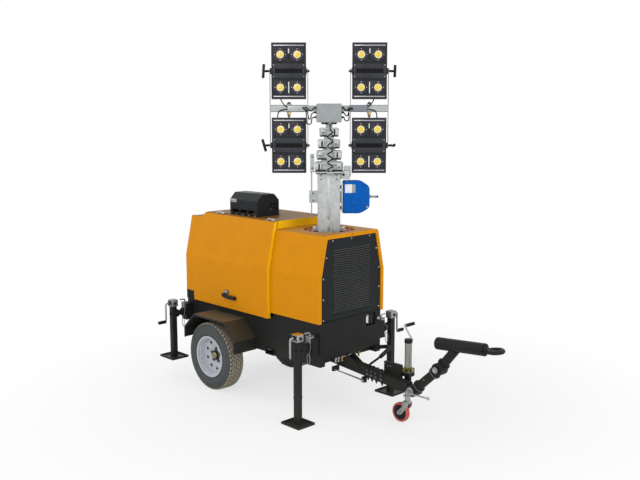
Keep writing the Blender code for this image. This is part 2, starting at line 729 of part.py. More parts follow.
def build_exhaust_guard(root):
    """The folded guard over the exhaust: chamfered top, slotted sides, holes in its front end."""
    x0, x1 = GUARD_X
    y0, y1 = GUARD_Y
    z0 = REAR_ROOF_Z + TOUCH
    z1 = REAR_ROOF_Z + GUARD_H
    c = GUARD_CHAMFER

    def section(inset, bottom):
        return [(y0 + inset, bottom), (y1 - inset, bottom), (y1 - inset, z1 - c), (y1 - c, z1 - inset),
                (y0 + c, z1 - inset), (y0 + inset, z1 - c)]

    shell = prism(section(0.0, z0), "X", (x0, x1))
    flange = block((x0, x1), (y0 - GUARD_FLANGE, y1 + GUARD_FLANGE), (z0, z0 + GUARD_WALL))
    cuts = [prism(section(GUARD_WALL, z0 - 0.01), "X", (x0 + GUARD_WALL, x1 - GUARD_WALL))]
    slot_z = (z0 + GUARD_SLOT_Z, z0 + GUARD_SLOT_Z + GUARD_SLOT_H)
    pitch = (x1 - x0 - 2.0 * GUARD_END) / GUARD_SLOTS
    for index in range(GUARD_SLOTS):
        middle = x0 + GUARD_END + pitch * (index + 0.5)
        cuts.append(block(centred(middle, (pitch - GUARD_END) / 2.0), (y0 - 0.01, y1 + 0.01), slot_z))
    for row in range(2):
        for column in range(3):
            y = y1 - GUARD_HOLE_START[0] - GUARD_HOLE_PITCH[0] * column
            z = z0 + GUARD_HOLE_START[1] - GUARD_HOLE_PITCH[1] * row
            cuts.append(rod((x1 - 0.02, y, z), (x1 + 0.02, y, z), GUARD_HOLE_R, 12))
    guard = combine([shell, flange], cuts)
    sub_part("exhaust_guard", guard, BLACK, root)


def build_axle(root):
    """The axle tube with its spindles, carried by two leaf springs on hangers."""
    z = WHEEL_R
    half = AXLE_TUBE / 2.0
    hub_in = WHEEL_Y + 0.030
    solids = [block(centred(0, half), centred(0, WHEEL_Y - 0.115), centred(z, half))]
    for _, side in SIDES:
        solids.append(rod((0, side * (WHEEL_Y - 0.13), z), (0, side * hub_in, z), SPINDLE_R - RUN, 24))
        y = side * SPRING_Y
        base_z = z + half - 0.002
        for leaf in range(LEAF_COUNT):
            span = SPRING_SPAN * (1.0 - 0.22 * (LEAF_COUNT - 1 - leaf))
            low = base_z + leaf * LEAF_T
            outline = leaf_outline(span, low)
            solids.append(prism(outline, "Y", centred(y, LEAF_W / 2.0)))
        for end in (-1, 1):
            x = end * SPRING_SPAN / 2.0
            top = RAIL_Z - TOUCH
            solids.append(block(centred(x, 0.025), centred(y, LEAF_W / 2.0 + 0.005), (top - 0.045, top)))
    sub_part("axle", combine(solids), BLACK, root)


def leaf_outline(span, low):
    """One spring leaf as an arc of steel strip, low in the middle."""
    steps = 10
    rise = SPRING_DROP * (span / SPRING_SPAN) ** 2
    lower = []
    upper = []
    for step in range(steps + 1):
        t = 2.0 * step / steps - 1.0
        x = t * span / 2.0
        z = low + rise * t * t
        lower.append((x, z))
        upper.append((x, z + LEAF_T + 0.001))
    return lower + upper[::-1]


def build_fender(root, name, side):
    """A folded mudguard with a turned-down outer lip and a web to the base."""
    path = [(FENDER_REAR_X, FENDER_REAR_Z[0]), (FENDER_REAR_X, FENDER_REAR_Z[1]),
            (FENDER_TOP_X[0], FENDER_TOP_Z), (FENDER_TOP_X[1], FENDER_TOP_Z),
            (FENDER_FRONT_X, FENDER_FRONT_Z[1]), (FENDER_FRONT_X, FENDER_FRONT_Z[0])]
    inner = offset_path(path, FENDER_T)
    lip = offset_path(path, FENDER_LIP)
    inside = BASE_HALF_W + TOUCH
    y = sorted((side * inside, side * FENDER_OUT_Y))
    edge = sorted((side * (FENDER_OUT_Y - FENDER_T), side * FENDER_OUT_Y))
    root_y = sorted((side * inside, side * (inside + FENDER_T)))
    solids = [prism(path + inner[::-1], "Y", y), prism(path + lip[::-1], "Y", edge),
              prism(path + offset_path(path, FENDER_WEB)[::-1], "Y", root_y)]
    sub_part(name, combine(solids), BLACK, root)


def offset_path(path, distance):
    """A bent line moved to its right by a distance, its corners mitred."""
    moved_points = []
    for index, point in enumerate(path):
        here = Vector(point)
        before = (here - Vector(path[index - 1])).normalized() if index else None
        after = (Vector(path[index + 1]) - here).normalized() if index < len(path) - 1 else None
        before = before or after
        after = after or before
        normal = Vector((before.y, -before.x)) + Vector((after.y, -after.x))
        normal.normalize()
        stretch = 1.0 / normal.dot(Vector((before.y, -before.x)))
        moved_points.append(tuple(here + normal * distance * stretch))
    return moved_points


def build_wheel(root, name, side):
    """A tyre on a steel rim with vents, its outer face dished."""
    hub = (0.0, side * WHEEL_Y, WHEEL_R)
    carrier = empty("wheel_axis_" + name, hub, root)
    outward = (0, side, 0)
    half = TYRE_W / 2.0
    tread = half * 0.80
    shoulder = WHEEL_R - 0.006
    inner_side = [(BEAD_R, -half * 0.70), (BEAD_R + 0.012, -half * 0.84), (BEAD_R + 0.055, -half),
                  (WHEEL_R - 0.050, -half), (WHEEL_R - 0.018, -half * 0.93), (shoulder, -tread),
                  (WHEEL_R, -tread * 0.5)]
    profile = inner_side + [(radius, -along) for radius, along in reversed(inner_side)]
    tyre = turned(profile, (0, 0, 0), outward, WHEEL_SEGMENTS)
    sub_part("tyre_" + name, tyre, RUBBER, carrier, smooth=50.0)

    barrel = BEAD_R - TOUCH
    width = half * 0.70 - TOUCH
    wall = RIM_WALL
    flange = RIM_FLANGE_R
    bead_end = half * 0.84
    disc = 0.030
    rim_profile = [
        (flange, bead_end + 0.003), (flange, bead_end + 0.003 + wall), (barrel - wall, bead_end + wall),
        (barrel - wall - 0.008, disc + 0.014), (0.150, disc + 0.006), (0.105, disc + 0.022),
        (0.078, disc + 0.012), (HUB_R, disc + 0.012), (HUB_R * 0.8, disc + 0.048),
        (SPINDLE_R, disc + 0.050), (SPINDLE_R, -0.020), (HUB_R, -0.020), (HUB_R + 0.004, disc),
        (0.105, disc + 0.012), (0.150, disc - 0.004), (barrel - wall, disc - 0.004),
        (barrel - wall, -bead_end - wall), (flange, -bead_end - wall - 0.003),
        (flange, -bead_end - 0.003), (barrel, -width - 0.004), (barrel, width + 0.004)]
    rim = turned(rim_profile, (0, 0, 0), outward, WHEEL_SEGMENTS)
    cuts = []
    for index in range(VENT_COUNT):
        angle = 2.0 * math.pi * index / VENT_COUNT
        tip = polar((0, 0), 0.112, angle)
        left = polar((0, 0), 0.140, angle - 0.115)
        right = polar((0, 0), 0.140, angle + 0.115)
        cuts.append(prism([tip, left, right], "Y", sorted((side * -0.02, side * 0.10))))
    cap = rod((0, side * (disc + 0.045), 0), (0, side * (disc + 0.062), 0), HUB_R * 0.72, 16, HUB_R * 0.6)
    sub_part("rim_" + name, combine([rim, cap], cuts), SILVER, carrier)


def build_leg(root, name, x, side, raised):
    """A square leg with a crank head on a swivel flange, and its inner tube with a foot."""
    pivot = (x, side * LEG_Y, LEG_PIVOT_Z)
    y = side * LEG_Y
    flange_in = side * (LEG_Y - LEG_TUBE / 2.0 - FLANGE_T)
    flange_out = side * (LEG_Y - LEG_TUBE / 2.0 + 0.002)
    head_z = (LEG_TOP_Z - 0.004, LEG_TOP_Z + LEG_HEAD_H)
    crank_z = LEG_TOP_Z + LEG_HEAD_H * 0.5
    arm_y = side * (LEG_Y + LEG_HEAD_W / 2.0 + 0.018)
    elbow_z = crank_z - CRANK_ARM
    grip_in = arm_y + side * 0.012
    grip_out = grip_in + side * GRIP_LENGTH
    solids = [
        prism(square(LEG_TUBE, (x, y)), "Z", (LEG_BOTTOM_Z, LEG_TOP_Z)),
        block(centred(x, LEG_HEAD_W / 2.0), centred(y, LEG_HEAD_W / 2.0), head_z),
        rod((x, flange_in, LEG_PIVOT_Z), (x, flange_out, LEG_PIVOT_Z), FLANGE_R, 24),
        bent_bar([(x, y + side * LEG_HEAD_W * 0.4, crank_z), (x, arm_y, crank_z),
                  (x, arm_y, elbow_z), (x, grip_in + side * 0.004, elbow_z)], CRANK_R, 10),
        rod((x, grip_in, elbow_z), (x, grip_out, elbow_z), GRIP_R, 14)]
    bore = prism(square(LEG_TUBE - 2.0 * LEG_WALL, (x, y)), "Z", (LEG_BOTTOM_Z - 0.01, LEG_TOP_Z - 0.008))
    leg = combine(solids, [bore])
    sub_part("leg_outer_" + name, leg, BLACK, root, pivot)

    low = raised
    tube = prism(square(LEG_INNER, (x, y)), "Z", (low + FOOT_T * 0.5, low + LEG_INNER_LENGTH))
    plate = block(centred(x, FOOT_X / 2.0), centred(y, FOOT_Y / 2.0), (low, low + FOOT_T + FOOT_RIM))
    tray = block(centred(x, FOOT_X / 2.0 - FOOT_T), centred(y, FOOT_Y / 2.0 - FOOT_T),
                 (low + FOOT_T, low + 0.1))
    foot = combine([combine([plate], [tray]), tube])
    sub_part("leg_inner_" + name, foot, BLACK, root, (x, y, low))


def build_drawbar(root):
    """The fixed drawbar: a square tube on a bracket under the base, with a toothed cheek."""
    half = BAR / 2.0
    angle = -math.atan(BAR_SLOPE_Z)
    rear_x = BAR_REAR_X
    neck_x = JOINT_1[0] - DISC_R - 0.006
    length = (neck_x - rear_x) / math.cos(angle)
    tube = block((0.0, length), centred(0, half), centred(0, half))
    spin = Matrix.Translation((rear_x, 0, bar_axis_z(rear_x))) @ Matrix.Rotation(-angle, 4, "Y")
    solids = [moved(tube, spin)]
    plate_z = BASE_FLOOR_Z - TOUCH
    solids.append(block((rear_x, HOUSING_FRONT - 0.03), centred(0, BAR_PLATE_HALF_W),
                        (plate_z - 0.008, plate_z)))
    for side in (-1, 1):
        web = [(rear_x + 0.01, plate_z - 0.004), (rear_x + 0.03, bar_axis_z(rear_x)),
               (HOUSING_FRONT + 0.16, bar_axis_z(HOUSING_FRONT + 0.16)),
               (HOUSING_FRONT - 0.035, plate_z - 0.004)]
        solids.append(prism(web, "Y", sorted((side * (half - 0.004), side * (half + 0.008)))))
    z1 = JOINT_1[1]
    cheek_y = (-DISC_T, -HALF_RUN)
    solids.append(rod((JOINT_1[0], cheek_y[0], z1), (JOINT_1[0], cheek_y[1], z1), DISC_R, 32))
    neck_y = (cheek_y[0] + NECK_SET_IN, cheek_y[1] - NECK_SET_IN)
    solids.append(block((neck_x - 0.02, JOINT_1[0]), neck_y, centred(z1, NECK_H / 2.0)))
    solids += through_bolt((JOINT_1[0], 0, z1))
    bracket_x = (JACK_X - BRACKET_REACH, JACK_X - JACK_TUBE_R - CLEAR)
    bracket_y = (half - 0.002, half - 0.002 + BRACKET_T)
    solids.append(block(bracket_x, bracket_y, (bar_axis_z(JACK_X), BRACKET_TOP_Z)))
    sub_part("drawbar", combine(solids), BLACK, root)


def build_link(root):
    """The link arm between the two drawbar joints: round tube, collars and toothed discs."""
    start = Vector((JOINT_1[0], 0, JOINT_1[1]))
    end = Vector((JOINT_2[0], 0, JOINT_2[1]))
    along = (end - start).normalized()
    clear = DISC_R + DISC_CLEAR
    solids = [rod(start + along * clear, end - along * clear, LINK_R, 24)]
    bores = []
    for point, way in ((start, along), (end, -along)):
        at = point + way * clear
        solids.append(rod(at, at + way * COLLAR_T, COLLAR_R, 28))
        solids.append(rod(point + Vector((0, HALF_RUN, 0)), point + Vector((0, DISC_T, 0)), DISC_R, 32))
        solids.append(neck(point, at + way * 0.004, (HALF_RUN, DISC_T)))
        bores.append(rod(point - Vector((0, 0.01, 0)), point + Vector((0, DISC_T + 0.01, 0)),
                         BOLT_R + RUN, 16))
    link = combine(solids, bores)
    sub_part("link_arm", link, BLACK, root, (JOINT_1[0], 0, JOINT_1[1]))


def through_bolt(centre):
    """A joint's bolt: hexagon head at the right, shank through both discs, nut at the left."""
    x, _, z = centre
    end = DISC_T + RUN
    return [rod((x, -DISC_T - 0.018, z), (x, -DISC_T + 0.004, z), BOLT_R * 2.0, 6),
            rod((x, -DISC_T, z), (x, end + 0.010, z), BOLT_R, 16),
            rod((x, end, z), (x, end + 0.014, z), BOLT_R * 1.7, 6)]


def neck(start, end, y_span):
    """A flat arm in the X-Z plane from a joint's middle to its tube's collar."""
    along = (end - start)
    length = along.length
    inside = (y_span[0] + NECK_SET_IN, y_span[1] - NECK_SET_IN)
    bar = block((0.0, length), inside, centred(0, NECK_H / 2.0))
    angle = -math.atan2(along.z, along.x)
    return moved(bar, Matrix.Translation(start) @ Matrix.Rotation(angle, 4, "Y"))


def build_tow_head(root):
    """The towing head: a stem from the upper joint, a cross tube and the towing eye."""
    start = Vector((JOINT_2[0], 0, JOINT_2[1]))
    junction = Vector((HEAD_JUNCTION[0], 0, HEAD_JUNCTION[1]))
    along = (junction - start).normalized()
    clear = DISC_R + DISC_CLEAR
    at = start + along * clear
    rear = Vector((TOW_TUBE_REAR[0], 0, TOW_TUBE_REAR[1]))
    front = Vector((TOW_TUBE_FRONT[0], 0, TOW_TUBE_FRONT[1]))
    tube_way = (front - rear).normalized()
    eye = front + tube_way * (EYE_NECK + EYE_R)
    up = Vector((-tube_way.z, 0, tube_way.x))
    solids = [
        rod(at, junction, LINK_R, 24),
        rod(at, at + along * COLLAR_T, COLLAR_R, 28),
        rod(start + Vector((0, -DISC_T, 0)), start + Vector((0, -HALF_RUN, 0)), DISC_R, 32),
        neck(start, at + along * 0.004, (-DISC_T, -HALF_RUN)),
        rod(rear, front, TOW_TUBE_R, 24),
        rod(front - tube_way * 0.01, eye - tube_way * (EYE_R - EYE_BAR_R * 1.5),
            EYE_BAR_R * 2.0, 20, EYE_BAR_R),
        torus(eye, up, EYE_R - EYE_BAR_R, EYE_BAR_R, 22, 8)]
    solids += through_bolt(start)
    sub_part("tow_head", combine(solids), BLACK, root, (JOINT_2[0], 0, JOINT_2[1]))


def build_jack(root):
    """The jockey jack: outer tube with crank, sliding inner tube, caster fork and wheel."""
    x = JACK_X
    y = JACK_SIDE
    crank_z = JACK_TOP_Z - 0.014
    arm_y = y + JACK_TUBE_R + 0.020
    arm_end = (x + JACK_ARM[0], arm_y, crank_z + JACK_ARM[1])
    solids = [
        rod((x, y, JACK_TUBE_BOTTOM_Z), (x, y, JACK_TOP_Z - 0.010), JACK_TUBE_R, 28),
        rod((x, y, JACK_TOP_Z - 0.020), (x, y, JACK_TOP_Z), JACK_TUBE_R + 0.003, 28),
        bent_bar([(x, y + JACK_TUBE_R * 0.6, crank_z), (x, arm_y, crank_z), arm_end,
                  (arm_end[0], arm_end[1] + 0.018, arm_end[2])], CRANK_R, 10),
        rod((arm_end[0], arm_end[1] + 0.012, arm_end[2]),
            (arm_end[0], arm_end[1] + 0.012 + GRIP_LENGTH, arm_end[2]), GRIP_R, 14)]
    clamp_low = bar_axis_z(x) + JACK_CLAMP_RISE
    solids.append(block((x - JACK_TUBE_R - CLEAR + TOUCH, x + JACK_TUBE_R + 0.010),
                        centred(y, JACK_TUBE_R + 0.008), (clamp_low, clamp_low + JACK_CLAMP_H)))
    bore = rod((x, y, JACK_TUBE_BOTTOM_Z - 0.01), (x, y, JACK_TOP_Z - 0.030), JACK_INNER_R + RUN, 28)
    sub_part("jack_tube", combine(solids, [bore]), ZINC, root, (x, y, JACK_TUBE_BOTTOM_Z))

    inner_low = FORK_TOP_Z + 0.008
    inner = rod((x, y, inner_low), (x, y, JACK_TOP_Z - JACK_INNER_DROP), JACK_INNER_R, 28)
    plate = rod((x, y, inner_low), (x, y, inner_low + 0.008), JACK_INNER_R + 0.014, 28)
    sub_part("jack_inner", combine([inner, plate]), ZINC, root, (x, y, inner_low))

    wheel_x = x - CASTER_TRAIL
    fork_half = CASTER_W / 2.0 + 0.006
    top = FORK_TOP_Z + 0.008 - RUN
    solids = [block((x - 0.036, x + 0.032), centred(y, fork_half + 0.005), (top - 0.012, top))]
    for side in (-1, 1):
        cheek = [(x - 0.034, top - 0.004), (wheel_x - 0.014, CASTER_R + 0.004),
                 (wheel_x - 0.008, CASTER_R - 0.014), (wheel_x + 0.014, CASTER_R - 0.014),
                 (x + 0.030, top - 0.030), (x + 0.030, top - 0.004)]
        solids.append(prism(cheek, "Y", sorted((y + side * fork_half, y + side * (fork_half + 0.005)))))
    solids.append(rod((wheel_x, y - fork_half - 0.012, CASTER_R),
                      (wheel_x, y + fork_half + 0.012, CASTER_R), CASTER_PIN_R, 14))
    sub_part("caster_fork", combine(solids), ZINC, root, (x, y, top))

    half = CASTER_W / 2.0
    bore_r = CASTER_PIN_R + RUN
    web = half * 0.6
    rim = CASTER_R - 0.020
    profile = [(bore_r, -half), (0.028, -half), (0.034, -web), (rim, -web), (rim + 0.004, -half),
               (CASTER_R - 0.004, -half), (CASTER_R, -web), (CASTER_R, web), (CASTER_R - 0.004, half),
               (rim + 0.004, half), (rim, web), (0.034, web), (0.028, half), (bore_r, half)]
    wheel = turned(profile, (wheel_x, y, CASTER_R), (0, 1, 0), 20)
    sub_part("caster_wheel", wheel, RED, root, (wheel_x, y, CASTER_R), smooth=50.0)


def section_width(index):
    """The width of a mast section; 0 is the outer tube."""
    return MAST_TUBE_W - MAST_STEP * index


def build_mast(mast):
    """The outer tube, the turning ring and five sections that slide out of it."""
    foot = SILL_FRONT_Z + MAST_FOOT_T - TOUCH + RUN
    half = MAST_TUBE_W / 2.0
    head = 0.026
    tube = prism(square(MAST_TUBE_W), "Z", (foot, MAST_TUBE_TOP_Z))
    ring_top = FRONT_ROOF_Z - RING_DROP
    solids = [tube, block(centred(0, half + 0.012), centred(0, half + 0.012), (foot, foot + 0.012)),
              block(centred(0, half + head), centred(0, half + head),
                    (MAST_TUBE_TOP_Z - 0.012, MAST_TUBE_TOP_Z))]
    for sign in (-1, 1):
        solids.append(block(centred(0, 0.030), sorted((sign * (half - 0.004), sign * (half + 0.006))),
                            (ring_top + 0.012, MAST_TUBE_TOP_Z - 0.02)))
        solids.append(block(centred(0, 0.028), sorted((sign * (half - 0.004), sign * (half + CLEAT_OUT))),
                            (ring_top + TOUCH, ring_top + 0.008)))
        solids.append(block(centred(0, 0.028), sorted((sign * (half - 0.004), sign * (half + 0.010))),
                            (ring_top + 0.004, ring_top + CLEAT_H)))
        solids.append(block(sorted((sign * (half - 0.004), sign * (half + CLEAT_OUT))), centred(0, 0.028),
                            (ring_top + TOUCH, ring_top + 0.008)))
        solids.append(block(sorted((sign * (half - 0.004), sign * (half + 0.008))), centred(0, 0.028),
                            (ring_top + 0.004, ring_top + CLEAT_H)))
    bracket_s = (-half - 0.080, -half + 0.004)
    solids.append(block(centred(0, 0.022), bracket_s, ROD_BRACKET_Z))
    clear_s = section_width(1) / 2.0 + COLLAR_SPREAD + BRACKET_OUT + CLEAR
    top = MAST_TUBE_TOP_Z
    side_out = -half - SIDE_BRACKET_OUT
    solids.append(block(centred(0, 0.022), (side_out, -half + 0.004), (top - 0.010, top - 0.001)))
    solids.append(block(centred(0, 0.022), (side_out, -clear_s), (top - 0.012, SIDE_BRACKET_TOP_Z)))
    guide_s = side_out + 0.012
    solids.append(rod((0.0, guide_s, GUIDE_ROD_Z[0]), (0.0, guide_s, GUIDE_ROD_Z[1]), 0.006, 10))
    solids.append(block((half - 0.004, CORD_X + CORD_R), centred(CORD_S, CORD_R + 0.004), (top - 0.012, top)))
    solids.append(block(centred(0.02, 0.035), (half - 0.004, half + 0.100), (top - 0.045, top - 0.002)))
    solids.append(block(centred(0.02, 0.033), (clear_s, half + 0.098), (top - 0.040, top + 0.045)))
    bore = prism(square(MAST_TUBE_W - 2.0 * MAST_WALL), "Z", (foot - 0.01, MAST_TUBE_TOP_Z + 0.2))
    sub_part("mast_tube", combine(solids, [bore]), ZINC, mast)

    inside = half * 1.5
    ring = [(inside, ring_top - RING_T), (RING_R, ring_top - RING_T), (RING_R, ring_top),
            (inside, ring_top)]
    ring_mesh = turned(ring, (0, 0, 0), (0, 0, 1), 40)
    sub_part("mast_ring", ring_mesh, RING_RED, mast)

    for index, top in enumerate(COLLAR_TOPS, start=1):
        width = section_width(index)
        bottom = foot + 0.010 * index + 0.012
        outer = width / 2.0
        spread = outer + COLLAR_SPREAD
        pad = section_width(index - 1) - 2.0 * (MAST_WALL + TOUCH)
        solids = [prism(square(width), "Z", (bottom, top)),
                  block(centred(0, pad / 2.0), centred(0, pad / 2.0),
                        (bottom + 0.010, bottom + 0.010 + PAD_H)),
                  block(centred(0, spread), centred(0, spread), (top - COLLAR_H, top))]
        for sign in (-1, 1):
            roller_s = sorted((sign * (outer + 0.012), sign * (spread + BRACKET_OUT)))
            solids.append(block(centred(0.012, 0.030), roller_s, (top - COLLAR_H - 0.052, top - 0.002)))
        cuts = []
        if index < SECTION_COUNT:
            cuts.append(prism(square(width - 2.0 * MAST_WALL), "Z", (bottom - 0.01, top + 0.01)))
        sub_part("mast_section_%d" % index, combine(solids, cuts), ZINC, mast)


def build_mast_head(mast):
    """The crossbar with four lamp yokes, and the junction box on the last section."""
    z = CROSSBAR_Z
    half = CROSSBAR / 2.0
    top = COLLAR_TOPS[-1]
    solids = [block(centred(0, half), centred(0, CROSSBAR_HALF), centred(z, half)),
              block(centred(0, half - 0.001), centred(0, 0.050), (top + TOUCH, z - half + 0.002))]
    for sign in (-1, 1):
        solids.append(block((half - 0.002, half + BOX_STANDOFF), centred(sign * BOX_W * 0.3, 0.012),
                            centred(z, half * 0.6)))
    cuts = [block(centred(0, half - 0.004), (-CROSSBAR_HALF - 0.01, -0.10), centred(z, half - 0.004)),
            block(centred(0, half - 0.004), (0.10, CROSSBAR_HALF + 0.01), centred(z, half - 0.004))]
    arm = LAMP_W / 2.0 + 0.012
    for _, side, level in LAMPS:
        s = side * LAMP_SIDE
        base = z + level * (half - 0.0005)
        far = z + level * (LAMP_RISE + 0.025)
        near = base + level * YOKE_BAR_T
        solids.append(block(centred(0, YOKE_BAR_W / 2.0), centred(s, arm + YOKE_BAR_T), sorted((base, near))))
        for sign in (-1, 1):
            arm_s = sorted((s + sign * arm, s + sign * (arm + YOKE_BAR_T)))
            solids.append(block(centred(0, YOKE_BAR_W / 2.0), arm_s, sorted((base, far))))
        solids.append(rod((0, s, near - level * 0.001), (0, s, near + level * 0.022), 0.014, 12))
        pivot_z = z + level * LAMP_RISE
        cuts.append(rod((0, s - arm - 0.02, pivot_z), (0, s + arm + 0.02, pivot_z), LAMP_BOLT_R + RUN, 12))
    sub_part("crossbar", combine(solids, cuts), ZINC, mast)

    face = half + BOX_STANDOFF + TOUCH
    box = rounded([(-BOX_W / 2.0, BOX_CENTRE_Z - BOX_H / 2.0), (BOX_W / 2.0, BOX_CENTRE_Z - BOX_H / 2.0),
                   (BOX_W / 2.0, BOX_CENTRE_Z + BOX_H / 2.0), (-BOX_W / 2.0, BOX_CENTRE_Z + BOX_H / 2.0)],
                  (0.008,) * 4, 2)
    sub_part("junction_box", prism(box, "X", (face, face + BOX_T)), GREY_BOX, mast)


def build_lamp(mast, name, side, level):
    """A flat LED floodlight: two lens plates, a driver block between them and rear fins."""
    pivot = (0.0, side * LAMP_SIDE, CROSSBAR_Z + level * LAMP_RISE)
    x0, y0, z0 = pivot
    half_w = LAMP_W / 2.0
    half_h = LAMP_H / 2.0
    front = LAMP_T * 0.5
    back = -LAMP_T * 0.25
    core = LAMP_CORE_H / 2.0
    solids = [block((back, front), centred(y0, half_w), centred(z0, half_h)),
              block((back - LAMP_FIN, front + 0.010), centred(y0, half_w - 0.006), centred(z0, core))]
    pitch = (LAMP_W - 0.02) / (LAMP_FIN_COUNT - 1)
    for index in range(LAMP_FIN_COUNT):
        y = y0 - half_w + 0.01 + pitch * index
        solids.append(block((back - LAMP_FIN, back + 0.002), centred(y, 0.002), centred(z0, half_h - 0.010)))
    for row in (-1, 1):
        for column in (-1, 1):
            y = y0 + column * LAMP_W * 0.244
            z = z0 + row * LAMP_H * 0.290
            solids.append(rod((front - 0.002, y, z), (front + 0.006, y, z), LAMP_LENS_R, 16))
    outer = y0 + side * (half_w - 0.002)
    bolt_end = y0 + side * (half_w + 0.070)
    solids.append(rod((x0, outer, z0), (x0, bolt_end, z0), LAMP_BOLT_R, 10))
    solids.append(rod((x0, bolt_end, z0 - T_HANDLE_W / 2.0), (x0, bolt_end, z0 + T_HANDLE_W / 2.0),
                      0.012, 10))
    solids.append(rod((x0, y0 - side * (half_w - 0.002), z0), (x0, y0 - side * (half_w + 0.030), z0),
                      LAMP_BOLT_R, 10))
    sub_part("lamp_" + name, combine(solids), LAMP_GREY, mast, pivot)


def build_winch(mast):
    """The mast winch: a rounded gear case on the outer tube with its crank."""
    s0, s1 = WINCH_S
    z0, z1 = WINCH_Z
    half = MAST_TUBE_W / 2.0
    t = WINCH_T / 2.0
    case = rounded([(s0, z0), (s1, z0), (s1, z1), (s0, z1)], (0.012, 0.070, 0.060, 0.012), 5)
    solids = [prism(case, "X", (-t, t)),
              block(centred(0, 0.028), (half + 0.006 + TOUCH, s0 + 0.004), (z0 + 0.05, z1 - 0.05))]
    sub_part("winch", combine(solids), BLUE, mast)
    z = (z0 + z1) / 2.0
    handle = [rod((0, s1 + TOUCH, z), (0, s1 + 0.080, z), 0.011, 14)]
    sub_part("winch_crank", combine(handle), ZINC, mast)


def build_mast_cord(mast):
    """The outer shape of the curly cord that feeds the lamps, and its lead up to the box."""
    box_low = BOX_CENTRE_Z - BOX_H / 2.0 - TOUCH
    low = Vector((CORD_X, CORD_S, MAST_TUBE_TOP_Z + TOUCH))
    high = Vector((CORD_X, CORD_S, box_low - CORD_LEAD))
    coil = rod(low, high, CORD_R, 16)
    lead = rod((LEAD_X, CORD_S, high.z - 0.004), (LEAD_X, CORD_S, box_low), CORD_LEAD_R, 12)
    sub_part("mast_cord", combine([coil, lead]), CORD, mast)


def main():
    for obj in list(bpy.data.objects):
        bpy.data.objects.remove(obj)
    root = empty("trailer", (-(FRONT_TIP + REAR_TIP) / 2.0, 0.0, 0.0))
    build_base(root)
    build_rear_housing(root)
    for name, side in SIDES:
        build_door(root, "door_" + name, side)
        build_fender(root, "fender_" + name, side)
        build_wheel(root, name, side)
    build_front_housing(root)
    build_grille(root)
    build_heavy_blocks(root)
    build_exhaust_guard(root)
    build_axle(root)
    for name, x, side, _, raised in LEGS:
        build_leg(root, name, x, side, raised)
    build_drawbar(root)
    build_link(root)
    build_tow_head(root)
    build_jack(root)
    mast = empty("mast_axis", (MAST_X, 0.0, 0.0), root, MAST_TURN)
    build_mast(mast)
    build_mast_head(mast)
    for name, side, level in LAMPS:
        build_lamp(mast, name, side, level)
    build_winch(mast)
    build_mast_cord(mast)


main()
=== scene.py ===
"""Looks of a towable light tower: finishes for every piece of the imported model, and its small parts.

Metres, +X towards the towing eye, +Y to the left, +Z up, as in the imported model.
"""

import json
import math

import bmesh
import bpy
from mathutils import Matrix, Vector


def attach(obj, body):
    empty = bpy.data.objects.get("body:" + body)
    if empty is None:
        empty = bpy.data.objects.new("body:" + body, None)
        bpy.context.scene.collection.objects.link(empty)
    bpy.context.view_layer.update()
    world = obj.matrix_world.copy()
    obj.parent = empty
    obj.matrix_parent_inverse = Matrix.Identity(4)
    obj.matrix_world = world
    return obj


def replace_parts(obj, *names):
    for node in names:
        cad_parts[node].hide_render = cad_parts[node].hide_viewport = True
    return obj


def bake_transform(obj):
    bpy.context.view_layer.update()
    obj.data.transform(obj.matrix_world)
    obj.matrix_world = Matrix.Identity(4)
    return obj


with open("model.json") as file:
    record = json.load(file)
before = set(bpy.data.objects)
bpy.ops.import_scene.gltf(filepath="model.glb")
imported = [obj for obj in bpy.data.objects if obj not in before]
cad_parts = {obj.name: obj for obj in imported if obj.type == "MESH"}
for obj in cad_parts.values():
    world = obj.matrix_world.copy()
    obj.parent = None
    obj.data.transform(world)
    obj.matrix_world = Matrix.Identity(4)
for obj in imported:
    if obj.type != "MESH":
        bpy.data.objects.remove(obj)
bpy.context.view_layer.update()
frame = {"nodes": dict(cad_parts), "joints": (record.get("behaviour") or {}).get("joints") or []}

bl_info = {
    "name": "Light tower looks",
    "version": (1, 0, 0),
    "blender": (4, 5, 0),
    "location": "View3D > Sidebar > Light Tower",
    "description": "Finishes and small parts of a towable light tower",
    "category": "Object",
}

AHEAD, LEFT, RIGHT, UP = (1, 0, 0), (0, 1, 0), (0, -1, 0), (0, 0, 1)
BOTH = (-1, 1)
SIDES = (("right", -1), ("left", 1))
LEGS = (("front_right", -1), ("front_left", 1), ("rear_right", -1), ("rear_left", 1))
LAMPS = (("upper_left", -1), ("upper_right", 1), ("lower_left", -1), ("lower_right", 1))
# Heights of the lamps' crossbar and of the clamp round the jack's tube
BAR_Z = 2.660
JACK_CLAMP_Z = 0.457


def joint_place(name):
    """Where a joint's axis stands."""
    return Vector(next(joint["pos_m"] for joint in frame["joints"] if joint["name"] == name))


WORLD = Matrix.Identity(4)
# The mast is turned, so its pieces are made in a frame of its own: X is the way the lamps face
MAST_TURN = math.radians(-45.0)
MAST_FOOT = joint_place("mast_turn")
MAST = Matrix.Translation((MAST_FOOT.x, MAST_FOOT.y, 0.0)) @ Matrix.Rotation(MAST_TURN, 4, "Z")
# The trailer's own frame is measured from the axle
TRAILER = Matrix.Translation((joint_place("wheel_left_spin").x, 0.0, 0.0))


def local_box(node, matrix=WORLD):
    """A node's lowest and highest corners in a frame of its own."""
    inverse = matrix.inverted()
    points = [inverse @ vertex.co for vertex in frame["nodes"][node].data.vertices]
    low = Vector([min(point[axis] for point in points) for axis in range(3)])
    high = Vector([max(point[axis] for point in points) for axis in range(3)])
    return low, high


def linear(colour):
    """A display colour, 0 to 255, as linear light."""
    shares = [value / 255.0 for value in colour]
    return [share / 12.92 if share <= 0.04045 else ((share + 0.055) / 1.055) ** 2.4 for share in shares]


# Properties

